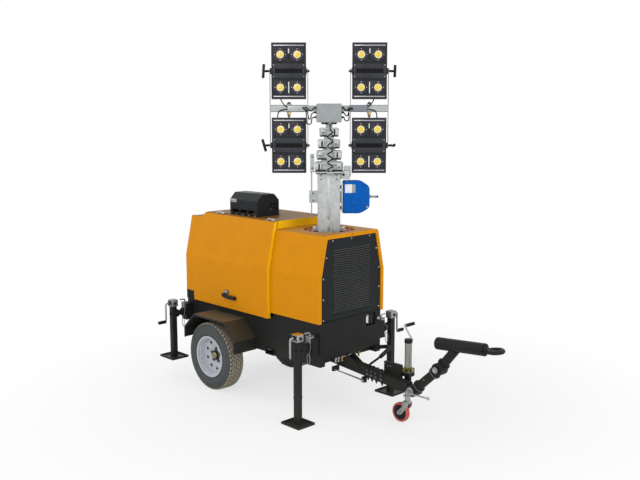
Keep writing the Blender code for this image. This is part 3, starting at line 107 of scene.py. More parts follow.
def colour_property(name, what, colour):
    return bpy.props.FloatVectorProperty(
        name=name, description=what, subtype="COLOR", size=3, min=0.0, max=1.0, default=linear(colour))


def length_property(name, what, value):
    return bpy.props.FloatProperty(
        name=name, description=what, subtype="DISTANCE", unit="LENGTH", min=0.0, default=value, precision=4)


class TowerColours(bpy.types.PropertyGroup):
    """Colours of the light tower's finishes."""

    housing: colour_property("Housing", "Powder coat of the housing and doors", (216, 140, 0))
    chassis: colour_property("Chassis", "Paint of the base, legs and drawbar", (33, 34, 34))
    zinc: colour_property("Zinc", "Galvanised steel of the mast", (184, 188, 187))
    winch: colour_property("Winch", "Paint of the mast winch", (0, 88, 176))
    lamp: colour_property("Lamp", "Casting of the lamps", (52, 54, 60))
    phosphor: colour_property("Phosphor", "Yellow face of an LED module", (232, 200, 66))
    tread: colour_property("Tread", "Worn rubber of the tyre treads", (156, 147, 132))
    sidewall: colour_property("Sidewall", "Rubber of the tyre walls", (66, 70, 71))


class TowerSizes(bpy.types.PropertyGroup):
    """Sizes of the light tower's small parts."""

    bolt: length_property("Bolt", "Width over the head of an ordinary bolt", 0.013)
    cord_wire: length_property("Cord", "Diameter of the curly cord's sheath", 0.0112)
    lead: length_property("Lead", "Diameter of a lamp's lead", 0.0100)
    tread_depth: length_property("Tread depth", "Depth of the tyre treads", 0.008)
    cord_turns: bpy.props.IntProperty(
        name="Cord turns", description="Turns of the curly cord", min=2, max=30, default=5)


# Finishes

# Sockets of a Mix node that mixes colours
MIX_SHARE, MIX_FIRST, MIX_SECOND, MIX_RESULT = 0, 6, 7, 2
# Height up to which dust settles on the black paint
DUST_Z = 0.75
# Angle by which the rings on a tyre's wall go on in a metre
RING_RATE = 1900.0


def add_node(tree, kind, links=(), **values):
    """Add a node. Links pair an input with a socket or number, and values are the node's own settings."""
    made = tree.nodes.new(kind)
    for key, value in values.items():
        setattr(made, key, value)
    for key, source in links:
        if isinstance(source, bpy.types.NodeSocket):
            tree.links.new(source, made.inputs[key])
        else:
            made.inputs[key].default_value = source
    return made


class Finish:
    """A node material that is built up on Object coordinates."""

    def __init__(self, name, roughness=0.4, metallic=0.0):
        self.material = bpy.data.materials.new(name)
        self.material.use_nodes = True
        self.tree = self.material.node_tree
        self.shader = self.tree.nodes["Principled BSDF"]
        self.shader.inputs["Roughness"].default_value = roughness
        self.shader.inputs["Metallic"].default_value = metallic
        where = self.tree.nodes.new("ShaderNodeTexCoord")
        self.place = where.outputs["Object"]
        self.normal = where.outputs["Normal"]

    def node(self, kind, links=(), **values):
        return add_node(self.tree, kind, links, **values)

    def noise(self, scale, detail=3.0, roughness=0.5):
        made = self.node("ShaderNodeTexNoise", (
            ("Vector", self.place), ("Scale", scale), ("Detail", detail), ("Roughness", roughness)))
        return made.outputs["Fac"]

    def cells(self, scale, output="Color"):
        made = self.node("ShaderNodeTexVoronoi", (("Vector", self.place), ("Scale", scale)))
        return made.outputs[output]

    def axis(self, name, vector=None):
        """One of the Object coordinates, or of another vector's."""
        source = self.place if vector is None else vector
        return self.node("ShaderNodeSeparateXYZ", (("Vector", source),)).outputs[name]

    def math(self, operation, first, second=0.0):
        made = self.node("ShaderNodeMath", ((0, first), (1, second)), operation=operation)
        return made.outputs["Value"]

    def times(self, first, second):
        return self.math("MULTIPLY", first, second)

    def spread(self, value, low, high, start=0.3, end=0.7):
        """Bring a value between two numbers, so that it stays between two others."""
        made = self.node("ShaderNodeMapRange", (
            ("Value", value), ("From Min", start), ("From Max", end), ("To Min", low), ("To Max", high)))
        return made.outputs["Result"]

    def mix(self, share, first, second):
        """Mix two colours."""
        first, second = [value if isinstance(value, bpy.types.NodeSocket) else (*value, 1.0)
                         for value in (first, second)]
        made = self.node("ShaderNodeMix", ((MIX_SHARE, share), (MIX_FIRST, first), (MIX_SECOND, second)),
                         data_type="RGBA")
        return made.outputs[MIX_RESULT]

    def set(self, name, socket):
        self.tree.links.new(socket, self.shader.inputs[name])
        return self

    def bump(self, height, strength, distance=0.001):
        made = self.node("ShaderNodeBump", (
            ("Height", height), ("Strength", strength), ("Distance", distance)))
        return self.set("Normal", made.outputs["Normal"])

    def mottle(self, colour, share, scale=7.0):
        """Base colour that drifts a little over the surface."""
        dark = [value * (1.0 - share) for value in colour]
        light = [min(1.0, value * (1.0 + share)) for value in colour]
        return self.mix(self.spread(self.noise(scale), 0.0, 1.0), dark, light)


def paint(name, colour, roughness=0.38, drift=0.05, peel=0.12, dust=0.0, shine=0.16, top_reflection=None, corner=None,
          lip_highlight=None):
    """Sprayed or powder-coated sheet: orange peel, a slight drift of tone, and dust low down.

    top_reflection is a tone and share for the faces that look up: a painted reflection, duller and darker
    than the paint. corner is a black lower rear corner:
    how far forward and up it reaches. lip_highlight is where the folded edges that look ahead begin, and the
    tone of the painted highlight on them.
    """
    made = Finish(name, roughness)
    made.shader.inputs["Specular IOR Level"].default_value = shine
    tone = made.mottle(colour, drift)
    if dust:
        low = made.spread(made.axis("Z"), 1.0, 0.0, 0.0, DUST_Z)
        share = made.times(made.times(low, made.noise(19.0, 6.0, 0.7)), dust)
        tone = made.mix(share, tone, linear((150, 138, 120)))
    # Painted reflection: faces that look up are mixed towards a darker tone
    if top_reflection:
        share = made.times(made.spread(made.axis("Z", made.normal), 0.0, top_reflection[1], 0.55, 0.95),
                           made.spread(made.noise(2.2, 4.0), 0.82, 1.0))
        tone = made.mix(share, tone, top_reflection[0])
    # Painted highlight: folded edges that face ahead are made brighter
    if lip_highlight:
        ahead = made.axis("X", made.normal)
        beyond = made.spread(made.axis("X"), 0.0, 0.85, lip_highlight[0], lip_highlight[0] + 0.01)
        tone = made.mix(made.times(beyond, made.spread(ahead, 0.0, 1.0, 0.86, 0.97)), tone, lip_highlight[1])
    if corner:
        behind = made.spread(made.axis("X"), 1.0, 0.0, corner[0], corner[0] + 0.002)
        below = made.spread(made.axis("Z"), 1.0, 0.0, corner[1], corner[1] + 0.002)
        tone = made.mix(made.times(behind, below), tone, linear((30, 31, 32)))
    made.set("Base Color", tone)
    made.set("Roughness", made.spread(made.noise(23.0, 4.0), roughness - 0.05, roughness + 0.07))
    return made.bump(made.noise(420.0, 2.0), peel).material


def galvanised(name, colour, roughness=0.42, spangle=34.0, metallic=0.65, bands=()):
    """Hot-dip zinc: grains of slightly different grey, dull streaks and a faint pitting.

    Each band is a stretch of another colour: its lowest and highest places, and that colour.
    """
    made = Finish(name, roughness, metallic)
    grain = made.node("ShaderNodeSeparateColor", ((0, made.cells(spangle)),)).outputs[0]
    streak = made.noise(11.0, 5.0, 0.65)
    share = made.math("ADD", made.times(grain, 0.45), made.times(streak, 0.55))
    tone = made.mix(share, [value * 0.82 for value in colour], [min(1.0, value * 1.14) for value in colour])
    for low, high, other in bands:
        height = made.axis("Z")
        within = made.times(made.spread(height, 0.0, 1.0, low, low + 0.001),
                            made.spread(height, 1.0, 0.0, high - 0.001, high))
        tone = made.mix(within, tone, other)
    made.set("Base Color", tone)
    made.set("Roughness", made.spread(share, roughness - 0.08, roughness + 0.12, 0.2, 0.8))
    return made.bump(made.noise(160.0, 3.0), 0.12).material


def moulded(name, colour, roughness=0.5, grain=260.0, strength=0.18):
    """Moulded plastic or rubber with a fine grain."""
    made = Finish(name, roughness)
    made.shader.inputs["Specular IOR Level"].default_value = 0.22
    made.set("Base Color", made.mottle(colour, 0.08, 15.0))
    made.set("Roughness", made.spread(made.noise(31.0), roughness - 0.06, roughness + 0.08))
    return made.bump(made.noise(grain, 2.0), strength).material


def bare_metal(name, colour, roughness=0.28, metallic=0.95):
    """Plated or bare steel with fine scratches."""
    made = Finish(name, roughness, metallic)
    made.set("Base Color", made.mottle(colour, 0.10, 24.0))
    made.set("Roughness", made.spread(made.noise(90.0, 5.0, 0.7), roughness - 0.08, roughness + 0.14))
    return made.bump(made.noise(520.0, 2.0), 0.06).material


def tyre_wall(name, colour, centre):
    """Tyre rubber whose wall has fine rings round the wheel's axis."""
    made = Finish(name, 0.72)
    across = made.math("SUBTRACT", made.axis("X"), centre[0])
    up = made.math("SUBTRACT", made.axis("Z"), centre[2])
    radius = made.math("SQRT", made.math("ADD", made.times(across, across), made.times(up, up)))
    rings = made.math("SINE", made.times(radius, RING_RATE))
    made.set("Base Color", made.mottle(colour, 0.12, 20.0))
    made.set("Roughness", made.spread(made.noise(60.0, 4.0), 0.62, 0.82))
    return made.bump(rings, 0.25, 0.0006).material


def phosphor(name, colour):
    """The yellow face of an LED module behind its lens."""
    made = Finish(name, 0.22)
    made.shader.inputs["Coat Weight"].default_value = 0.6
    made.set("Base Color", made.mottle(colour, 0.10, 60.0))
    made.set("Roughness", made.spread(made.noise(140.0), 0.18, 0.3))
    return made.bump(made.cells(420.0, "Distance"), 0.15, 0.0005).material


class Finishes:
    """All finishes, made once from the chosen colours."""

    def __init__(self, colours):
        housing = list(colours.housing)
        # The housing's faces that look up get a darker tone as painted reflection, darkest on the rear
        # housing and doors, whose lips that face ahead get a painted highlight
        self.orange = paint("orange_paint", housing, 0.42, 0.035, shine=0.10,
                            top_reflection=(linear((150, 108, 40)), 0.70))
        self.orange_corner = paint("orange_paint_corner", housing, 0.42, 0.035, shine=0.10,
                                   top_reflection=(linear((84, 64, 32)), 0.90), corner=(-1.535, 0.878),
                                   lip_highlight=(-0.50, linear((255, 200, 22))))
        self.black = paint("black_paint", list(colours.chassis), 0.42, 0.10, 0.10, 0.12, 0.12)
        # The fenders' faces that look up get a tan tone as painted reflection
        self.fender = paint("fender_paint", list(colours.chassis), 0.42, 0.10, 0.10, 0.16,
                            top_reflection=(linear((112, 98, 72)), 0.75))
        self.satin_black = paint("satin_black", linear((30, 32, 34)), 0.36, 0.10, 0.08)
        self.edge_black = paint("edge_black", linear((82, 84, 82)), 0.36, 0.10, 0.08)
        self.zinc = galvanised("galvanised", list(colours.zinc))
        self.bright_zinc = galvanised("bright_zinc", linear((168, 171, 171)), 0.36, 60.0, 0.7)
        self.jack_zinc = galvanised("jack_zinc", linear((148, 149, 143)), 0.36, 60.0, 0.7, [
            (0.0, JACK_CLAMP_Z, linear((26, 27, 28))),
            (JACK_CLAMP_Z, JACK_CLAMP_Z + 0.040, linear((112, 102, 58)))])
        self.bar_zinc = galvanised("bar_zinc", linear((116, 120, 122)), 0.48, 40.0, 0.5,
                                   [(BAR_Z - 0.0262, BAR_Z + 0.0262, linear((170, 174, 172)))])
        self.sleeve = galvanised("sleeve_zinc", linear((126, 129, 136)), 0.5, 40.0, 0.4)
        self.dull_zinc = galvanised("dull_zinc", linear((138, 142, 146)), 0.45, 50.0, 0.6)
        self.steel = bare_metal("plated_steel", linear((172, 174, 178)), 0.32)
        self.brass = bare_metal("brass", linear((176, 150, 86)), 0.34)
        self.bronze = bare_metal("yellow_zinc", linear((150, 138, 92)), 0.42, 0.7)
        self.rim = paint("rim_silver", linear((190, 193, 200)), 0.34, 0.05, 0.08)
        self.lamp = paint("lamp_casting", list(colours.lamp), 0.44, 0.12, 0.22)
        self.lamp_face = paint("lamp_face", linear((44, 44, 50)), 0.32, 0.12, 0.10)
        self.lamp_ring = paint("lamp_ring", linear((58, 57, 66)), 0.30, 0.12, 0.10)
        self.winch = paint("winch_blue", list(colours.winch), 0.34, 0.05, shine=0.10)
        self.box = moulded("box_plastic", linear((152, 157, 158)), 0.46)
        self.plastic = moulded("black_plastic", linear((22, 23, 24)), 0.45)
        # Painted shade: a near-black sheet set in slots and gaps, where there is only shade
        self.slot = moulded("painted_slot_shade", linear((9, 10, 11)), 0.75)
        self.grip = moulded("grip_rubber", linear((20, 20, 21)), 0.55, 320.0, 0.3)
        self.cable = moulded("cable_sheath", linear((18, 18, 19)), 0.48, 500.0, 0.1)
        self.red = moulded("red_polyurethane", linear((190, 92, 82)), 0.42)
        self.primer = paint("ring_primer", linear((140, 40, 36)), 0.5, 0.15)
        self.signal_red = moulded("signal_red", linear((188, 24, 20)), 0.35)
        self.white_plate = paint("white_plate", linear((226, 228, 230)), 0.4, 0.03)
        self.engine = paint("engine_grey", linear((92, 96, 100)), 0.55, 0.15)
        self.rubber = moulded("dark_rubber", linear((40, 41, 42)), 0.7)
        self.tread = moulded("tyre_tread", list(colours.tread), 0.85, 190.0, 0.4)
        self.lens_rim = moulded("lens_rim", linear((232, 226, 188)), 0.3)
        self.phosphor = phosphor("led_phosphor", list(colours.phosphor))
        for name, _ in SIDES:
            centre = joint_place("wheel_%s_spin" % name)
            setattr(self, "wall_" + name, tyre_wall("tyre_wall_" + name, list(colours.sidewall), centre))


FINISHES = {}


def finish_of(name):
    """A finish by its name. All of them are made at the first call."""
    if "all" not in FINISHES:
        FINISHES["all"] = Finishes(bpy.context.scene.tower_colours)
    return getattr(FINISHES["all"], name)


def sizes():
    return bpy.context.scene.tower_sizes


# Shapes

def around(count, radius, start=0.0):
    """Places round a circle. start moves them on by a share of the step."""
    for index in range(count):
        angle = 2.0 * math.pi * (index + start) / count
        yield radius * math.cos(angle), radius * math.sin(angle)


def coil(radius, turns, start, end, steps=8):
    """Points of a spring: two across, and one along it."""
    count = turns * steps
    for index in range(count + 1):
        angle = 2.0 * math.pi * index / steps
        yield radius * math.cos(angle), radius * math.sin(angle), start + (end - start) * index / count


def ribs(radius, depth, first, pitch, count):
    """The ribs of a rubber grip, as (radius, distance along it)."""
    line = []
    for index in range(count):
        along = first - index * pitch
        line += [(radius, along), (radius - depth, along - 0.0035), (radius, along - 0.0070)]
    return line


def rounded(points, radii, steps=6):
    """An outline with its corners rounded, by one radius or by one for each corner."""
    made = []
    count = len(points)
    if isinstance(radii, float):
        radii = [radii] * count
    for index, (point, radius) in enumerate(zip(points, radii)):
        here = Vector(point)
        before = Vector(points[index - 1]) - here
        after = Vector(points[(index + 1) % count]) - here
        bend = before.angle(after)
        reach = radius / math.tan(bend / 2.0)
        start = here + before.normalized() * reach
        end = here + after.normalized() * reach
        for step in range(steps + 1):
            share = step / steps
            made.append(tuple(start.lerp(here, share).lerp(here.lerp(end, share), share)))
    return made


def bevel_edges(part, edges, width, segments=2):
    bmesh.ops.bevel(part, geom=list(edges), offset=width, segments=segments, profile=0.5, affect="EDGES",
                    material=-1)


def extrude(part, faces, step):
    grown = bmesh.ops.extrude_face_region(part, geom=list(faces))
    bmesh.ops.translate(part, vec=step, verts=[item for item in grown["geom"]
                                               if isinstance(item, bmesh.types.BMVert)])


class Piece:
    """One new object, whose shapes are placed in the mast's frame or the model's own."""

    def __init__(self, name, body, matrix=WORLD):
        self.name = name
        self.body = body
        self.matrix = matrix
        self.bm = bmesh.new()
        self.finishes = []

    def take(self, part, finish):
        """Add a finished bmesh in one finish, by its name."""
        if finish not in self.finishes:
            self.finishes.append(finish)
        bmesh.ops.recalc_face_normals(part, faces=part.faces)
        for face in part.faces:
            face.material_index = self.finishes.index(finish)
        bmesh.ops.transform(part, matrix=self.matrix, verts=part.verts)
        mesh = bpy.data.meshes.new("shape")
        part.to_mesh(mesh)
        part.free()
        self.bm.from_mesh(mesh)
        bpy.data.meshes.remove(mesh)

    def box(self, low, high, finish, bevel=0.0012, segments=2):
        part = bmesh.new()
        bmesh.ops.create_cube(part, size=1.0)
        low, high = Vector(low), Vector(high)
        size = Vector([max(abs(high[axis] - low[axis]), 1e-5) for axis in range(3)])
        bmesh.ops.scale(part, vec=size, verts=part.verts)
        bmesh.ops.translate(part, vec=(low + high) / 2.0, verts=part.verts)
        width = min(bevel, min(size) * 0.45)
        if width > 0.0:
            bevel_edges(part, part.edges, width, segments)
        self.take(part, finish)

    def block(self, centre, half, finish, bevel=0.0012, segments=2):
        """A box round its centre, from half of each size."""
        self.box([place - reach for place, reach in zip(centre, half)],
                 [place + reach for place, reach in zip(centre, half)], finish, bevel, segments)

    def stand(self, part, centre, axis, finish):
        """Take a part that was made along Z, and turn it to an axis through a place."""
        turn = Vector(UP).rotation_difference(Vector(axis)).to_matrix().to_4x4()
        bmesh.ops.transform(part, matrix=Matrix.Translation(centre) @ turn, verts=part.verts)
        self.take(part, finish)

    def rod(self, start, end, radius, finish, steps=20, end_radius=None, bevel=0.0):
        start, end = Vector(start), Vector(end)
        part = bmesh.new()
        bmesh.ops.create_cone(
            part, cap_ends=True, segments=steps, radius1=radius,
            radius2=radius if end_radius is None else end_radius, depth=(end - start).length)
        if bevel:
            rims = [edge for edge in part.edges if abs(edge.verts[0].co.z - edge.verts[1].co.z) < 1e-6]
            bevel_edges(part, rims, bevel)
        self.stand(part, (start + end) / 2.0, end - start, finish)

    def spin(self, profile, centre, axis, finish, steps=32):
        """Turn a line of (radius, distance along the axis). A closed line gives a ring."""
        part = bmesh.new()
        verts = [part.verts.new((radius, 0.0, along)) for radius, along in profile]
        edges = [part.edges.new(pair) for pair in zip(verts, verts[1:])]
        bmesh.ops.spin(part, geom=verts + edges, cent=(0, 0, 0), axis=UP, angle=2.0 * math.pi,
                       steps=steps, use_merge=True)
        bmesh.ops.remove_doubles(part, verts=part.verts, dist=1e-6)
        self.stand(part, centre, axis, finish)

    def bolt(self, at, axis, finish, size=None, head=0.55):
        """A hexagon bolt head on its washer."""
        size = size or sizes().bolt
        at, axis = Vector(at), Vector(axis).normalized()
        thick = size * 0.12
        self.rod(at, at + axis * thick, size * 0.78, finish, 20)
        self.rod(at, at + axis * (thick + size * head), size * 0.56, finish, 6, size * 0.50)

    def screw(self, at, axis, finish, radius=0.004, height=0.0022):
        """A low domed screw head."""
        at, axis = Vector(at), Vector(axis).normalized()
        dome = [(0.0, height), (radius * 0.55, height * 0.9), (radius * 0.9, height * 0.5), (radius, 0.0),
                (0.0, 0.0)]
        self.spin(dome, at, axis, finish, 12)

    def tube(self, points, radius, finish, smooth=True, ring=3):
        """A round cable or bar along points, from a curve with a bevel."""
        curve = bpy.data.curves.new("line", "CURVE")
        curve.dimensions = "3D"
        curve.bevel_depth = radius
        curve.bevel_resolution = ring
        curve.use_fill_caps = True
        spline = curve.splines.new("NURBS" if smooth else "POLY")
        spline.points.add(len(points) - 1)
        for slot, point in zip(spline.points, points):
            slot.co = (*point, 1.0)
        if smooth:
            spline.order_u = min(4, len(points))
            spline.use_endpoint_u = True
            curve.resolution_u = 6
        helper = bpy.data.objects.new("line", curve)
        bpy.context.scene.collection.objects.link(helper)
        bpy.context.view_layer.update()
        graph = bpy.context.evaluated_depsgraph_get()
        mesh = bpy.data.meshes.new_from_object(helper.evaluated_get(graph))
        bpy.data.objects.remove(helper)
        part = bmesh.new()
        part.from_mesh(mesh)
        bpy.data.meshes.remove(mesh)
        bmesh.ops.remove_doubles(part, verts=part.verts, dist=1e-6)
        self.take(part, finish)

    def plate(self, outline, axis, span, finish, bevel=0.0):
        """An outline extruded along X, Y or Z. Its points are (Y, Z), (X, Z) or (X, Y)."""
        low, high = sorted(span)
        place = "XYZ".index(axis)
        part = bmesh.new()
        face = part.faces.new([part.verts.new((*point[:place], low, *point[place:])) for point in outline])
        extrude(part, [face], Vector([float(axis == name) for name in "XYZ"]) * (high - low))
        if bevel:
            bmesh.ops.recalc_face_normals(part, faces=part.faces)
            bevel_edges(part, part.edges, bevel)
        self.take(part, finish)

    def done(self, smooth=38.0):
        """Make the object, and let it ride on its body."""
        mesh = bpy.data.meshes.new(self.name)
        self.bm.to_mesh(mesh)
        self.bm.free()
        for finish in self.finishes:
            mesh.materials.append(finish_of(finish))
        mesh.shade_smooth()
        mesh.set_sharp_from_angle(angle=math.radians(smooth))
        obj = bpy.data.objects.new(self.name, mesh)
        bpy.context.scene.collection.objects.link(obj)
        if self.body:
            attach(obj, self.body)
        return obj


def dress(node, finish):
    """Give a node of the model its finish."""
    materials = frame["nodes"][node].data.materials
    materials.clear()
    materials.append(finish_of(finish))


class TowerOperator:
    """What the tower's operators share."""

    bl_options = {"REGISTER", "UNDO"}


# Stage

CAMERA_PLACE = (5.132, -5.204, 2.619)
CAMERA_YAW = math.radians(45.65)
CAMERA_DOWN = math.radians(8.65)
CAMERA_LENS = 46.88
FLOOR_SIZE = 60.0
# The floor's share of white under the object, and the distances between which it becomes all white
FLOOR_SHARE = 0.68
FLOOR_FADE = (1.4, 3.4)
# Soft lights: name, place, size, power, aimed at a height over the middle
LIGHTS = (
    ("key", (2.5, -6.5, 4.6), 5.0, 172.0, 1.0),
    ("fill", (7.8, 0.5, 3.8), 4.5, 196.0, 1.0),
    ("top", (-1.0, 0.5, 8.5), 6.0, 52.0, 1.0),
    ("rim", (-6.0, -3.5, 4.5), 4.0, 80.0, 1.2),
)
WORLD_STRENGTH = 0.55


class TOWER_OT_stage(TowerOperator, bpy.types.Operator):
    """Make the floor, the soft lights, the white background and the camera."""

    bl_idname = "tower.stage"
    bl_label = "Stage"

    def execute(self, context):
        scene = context.scene
        scene.view_settings.view_transform = "Standard"
        self.camera(scene)
        self.lights(scene)
        self.world(scene)
        self.floor()
        return {"FINISHED"}

    def camera(self, scene):
        data = bpy.data.cameras.new("camera")
        data.sensor_width = 36.0
        data.lens = CAMERA_LENS
        data.clip_end = 200.0
        obj = bpy.data.objects.new("camera", data)
        obj.location = CAMERA_PLACE
        obj.rotation_euler = (math.pi / 2.0 - CAMERA_DOWN, 0.0, CAMERA_YAW)
        scene.collection.objects.link(obj)
        scene.camera = obj

    def lights(self, scene):
        for name, place, size, power, height in LIGHTS:
            data = bpy.data.lights.new(name, "AREA")
            data.shape = "DISK"
            data.size = size
            data.energy = power
            obj = bpy.data.objects.new(name, data)
            obj.location = place
            aim = Vector((0.0, 0.0, height)) - Vector(place)
            obj.rotation_euler = aim.to_track_quat("-Z", "Y").to_euler()
            scene.collection.objects.link(obj)

    def world(self, scene):
        """White where it is seen or reflected, and a soft light elsewhere."""
        world = bpy.data.worlds.new("studio")
        world.use_nodes = True
        tree = world.node_tree
        tree.nodes.clear()
        ray = add_node(tree, "ShaderNodeLightPath").outputs
        shown = add_node(tree, "ShaderNodeMath", (
            (0, ray["Is Glossy Ray"]), (1, ray["Is Transmission Ray"])), operation="MAXIMUM")
        share = add_node(tree, "ShaderNodeMath", (
            (0, ray["Is Camera Ray"]), (1, shown.outputs[0])), operation="MAXIMUM")
        light, white = [
            add_node(tree, "ShaderNodeBackground", (("Color", (1.0, 1.0, 1.0, 1.0)), ("Strength", strength)))
            for strength in (WORLD_STRENGTH, 1.0)]
        mixed = add_node(tree, "ShaderNodeMixShader", (
            (0, share.outputs[0]), (1, light.outputs[0]), (2, white.outputs[0])))
        add_node(tree, "ShaderNodeOutputWorld", (("Surface", mixed.outputs[0]),))
        scene.world = world

    def floor(self):
        part = bmesh.new()
        bmesh.ops.create_grid(part, x_segments=1, y_segments=1, size=FLOOR_SIZE / 2.0)
        mesh = bpy.data.meshes.new("floor")
        part.to_mesh(mesh)
        part.free()
        made = Finish("floor_white", 0.9)
        made.set("Base Color", made.mottle((0.88, 0.88, 0.88), 0.01, 0.4))
        made.shader.inputs["Specular IOR Level"].default_value = 0.1
        # Seen from the camera, the floor turns white away from the shadow
        reach = made.node("ShaderNodeVectorMath", ((0, made.place),), operation="LENGTH").outputs["Value"]
        seen = made.node("ShaderNodeLightPath").outputs["Is Camera Ray"]
        share = made.times(made.spread(reach, FLOOR_SHARE, 1.0, *FLOOR_FADE), seen)
        white = made.node("ShaderNodeEmission", (("Strength", 1.0),)).outputs["Emission"]
        mixed = made.node("ShaderNodeMixShader", (
            (0, share), (1, made.shader.outputs["BSDF"]), (2, white))).outputs["Shader"]
        made.tree.links.new(mixed, made.tree.nodes["Material Output"].inputs["Surface"])
        mesh.materials.append(made.material)
        obj = bpy.data.objects.new("floor", mesh)
        bpy.context.scene.collection.objects.link(obj)


# Finishes of the model's own nodes

NODE_FINISHES = {
    "black": ("base_frame", "axle", "drawbar", "link_arm", "tow_head"),
    "fender": ("fender_left", "fender_right"),
    "satin_black": ("front_grille", "exhaust_guard"),
    "orange": ("housing_front",),
    "orange_corner": ("housing_rear", "door_left", "door_right"),
    "bar_zinc": ("crossbar",),
    "zinc": ("mast_tube", "winch_crank"),
    "bright_zinc": ("jack_inner", "caster_fork"),
    "jack_zinc": ("jack_tube",),
    "rim": ("rim_left", "rim_right"),
    "red": ("caster_wheel",),
    "winch": ("winch",),
    "box": ("junction_box",),
    "primer": ("mast_ring",),
    "cable": ("mast_cord",),
    "engine": ("engine_block", "radiator"),
}


class TOWER_OT_nodes(TowerOperator, bpy.types.Operator):
    """Give each piece of the model its finish."""

    bl_idname = "tower.nodes"
    bl_label = "Model finishes"

    def execute(self, context):
        for finish, nodes in NODE_FINISHES.items():
            for node in nodes:
                dress(node, finish)
        for index in range(1, 6):
            dress("mast_section_%d" % index, "zinc")
        for name, _ in LEGS:
            dress("leg_outer_" + name, "black")
            dress("leg_inner_" + name, "black")
        for name, _ in LAMPS:
            dress("lamp_" + name, "lamp")
        for name, _ in SIDES:
            dress("tyre_" + name, "wall_" + name)
        return {"FINISHED"}


# Lamps

LAMP_HALF_W = 0.150
LAMP_FRONT = 0.030
LAMP_BACK = -0.015
# Where a lamp's modules begin, and half the height of the driver block and of its band of slots
MODULE_X = LAMP_FRONT - 0.006
DRIVER_HALF_H = 0.0625
BAND_HALF_H = 0.018
FIN_COUNT = 17
SLOT_COUNT = 12
# A module's place, as shares of half the lamp's width and height, half its side, and its screws' circle
MODULE_PLACE = (0.488, 0.580)
MODULE_HALF = 0.062
MODULE_SCREW_R = 0.0475
# The lit stretches of the slots between the upper and the lower modules, from the modules' middle
LIT_SLOTS = {1: (0.010, 0.050), -1: (-0.050, 0.048)}
HANDLE_REACH = 0.070
SPRING = (0.018, 0.056)
# Turned lines, as (radius, distance along the axis)
MODULE_RING = ((0.033, 0.0), (0.0535, 0.0), (0.0525, 0.0016), (0.036, 0.0022), (0.033, 0.0016),
               (0.033, 0.0))
LENS_RIM = ((0.0245, 0.0), (0.0330, 0.0), (0.0325, 0.0042), (0.0290, 0.0068), (0.0245, 0.0074),
            (0.0245, 0.0))
LENS = ((0.0247, 0.0), (0.0247, 0.0073), (0.018, 0.0082), (0.010, 0.0088), (0.0, 0.0090))
LAMP_KNOB = ((0.0, 0.027), (0.006, 0.026), (0.010, 0.020), (0.013, 0.008), (0.014, 0.0), (0.0, 0.0))
# Half of each clamping handle's bar, in its lamp's own frame
HANDLE_BARS = {
    "upper_left": (0.0, 0.004, 0.060),
    "upper_right": (0.018, 0.0, 0.050),
    "lower_left": (0.010, -0.014, 0.052),
    "lower_right": (0.052, 0.0, 0.006),
}


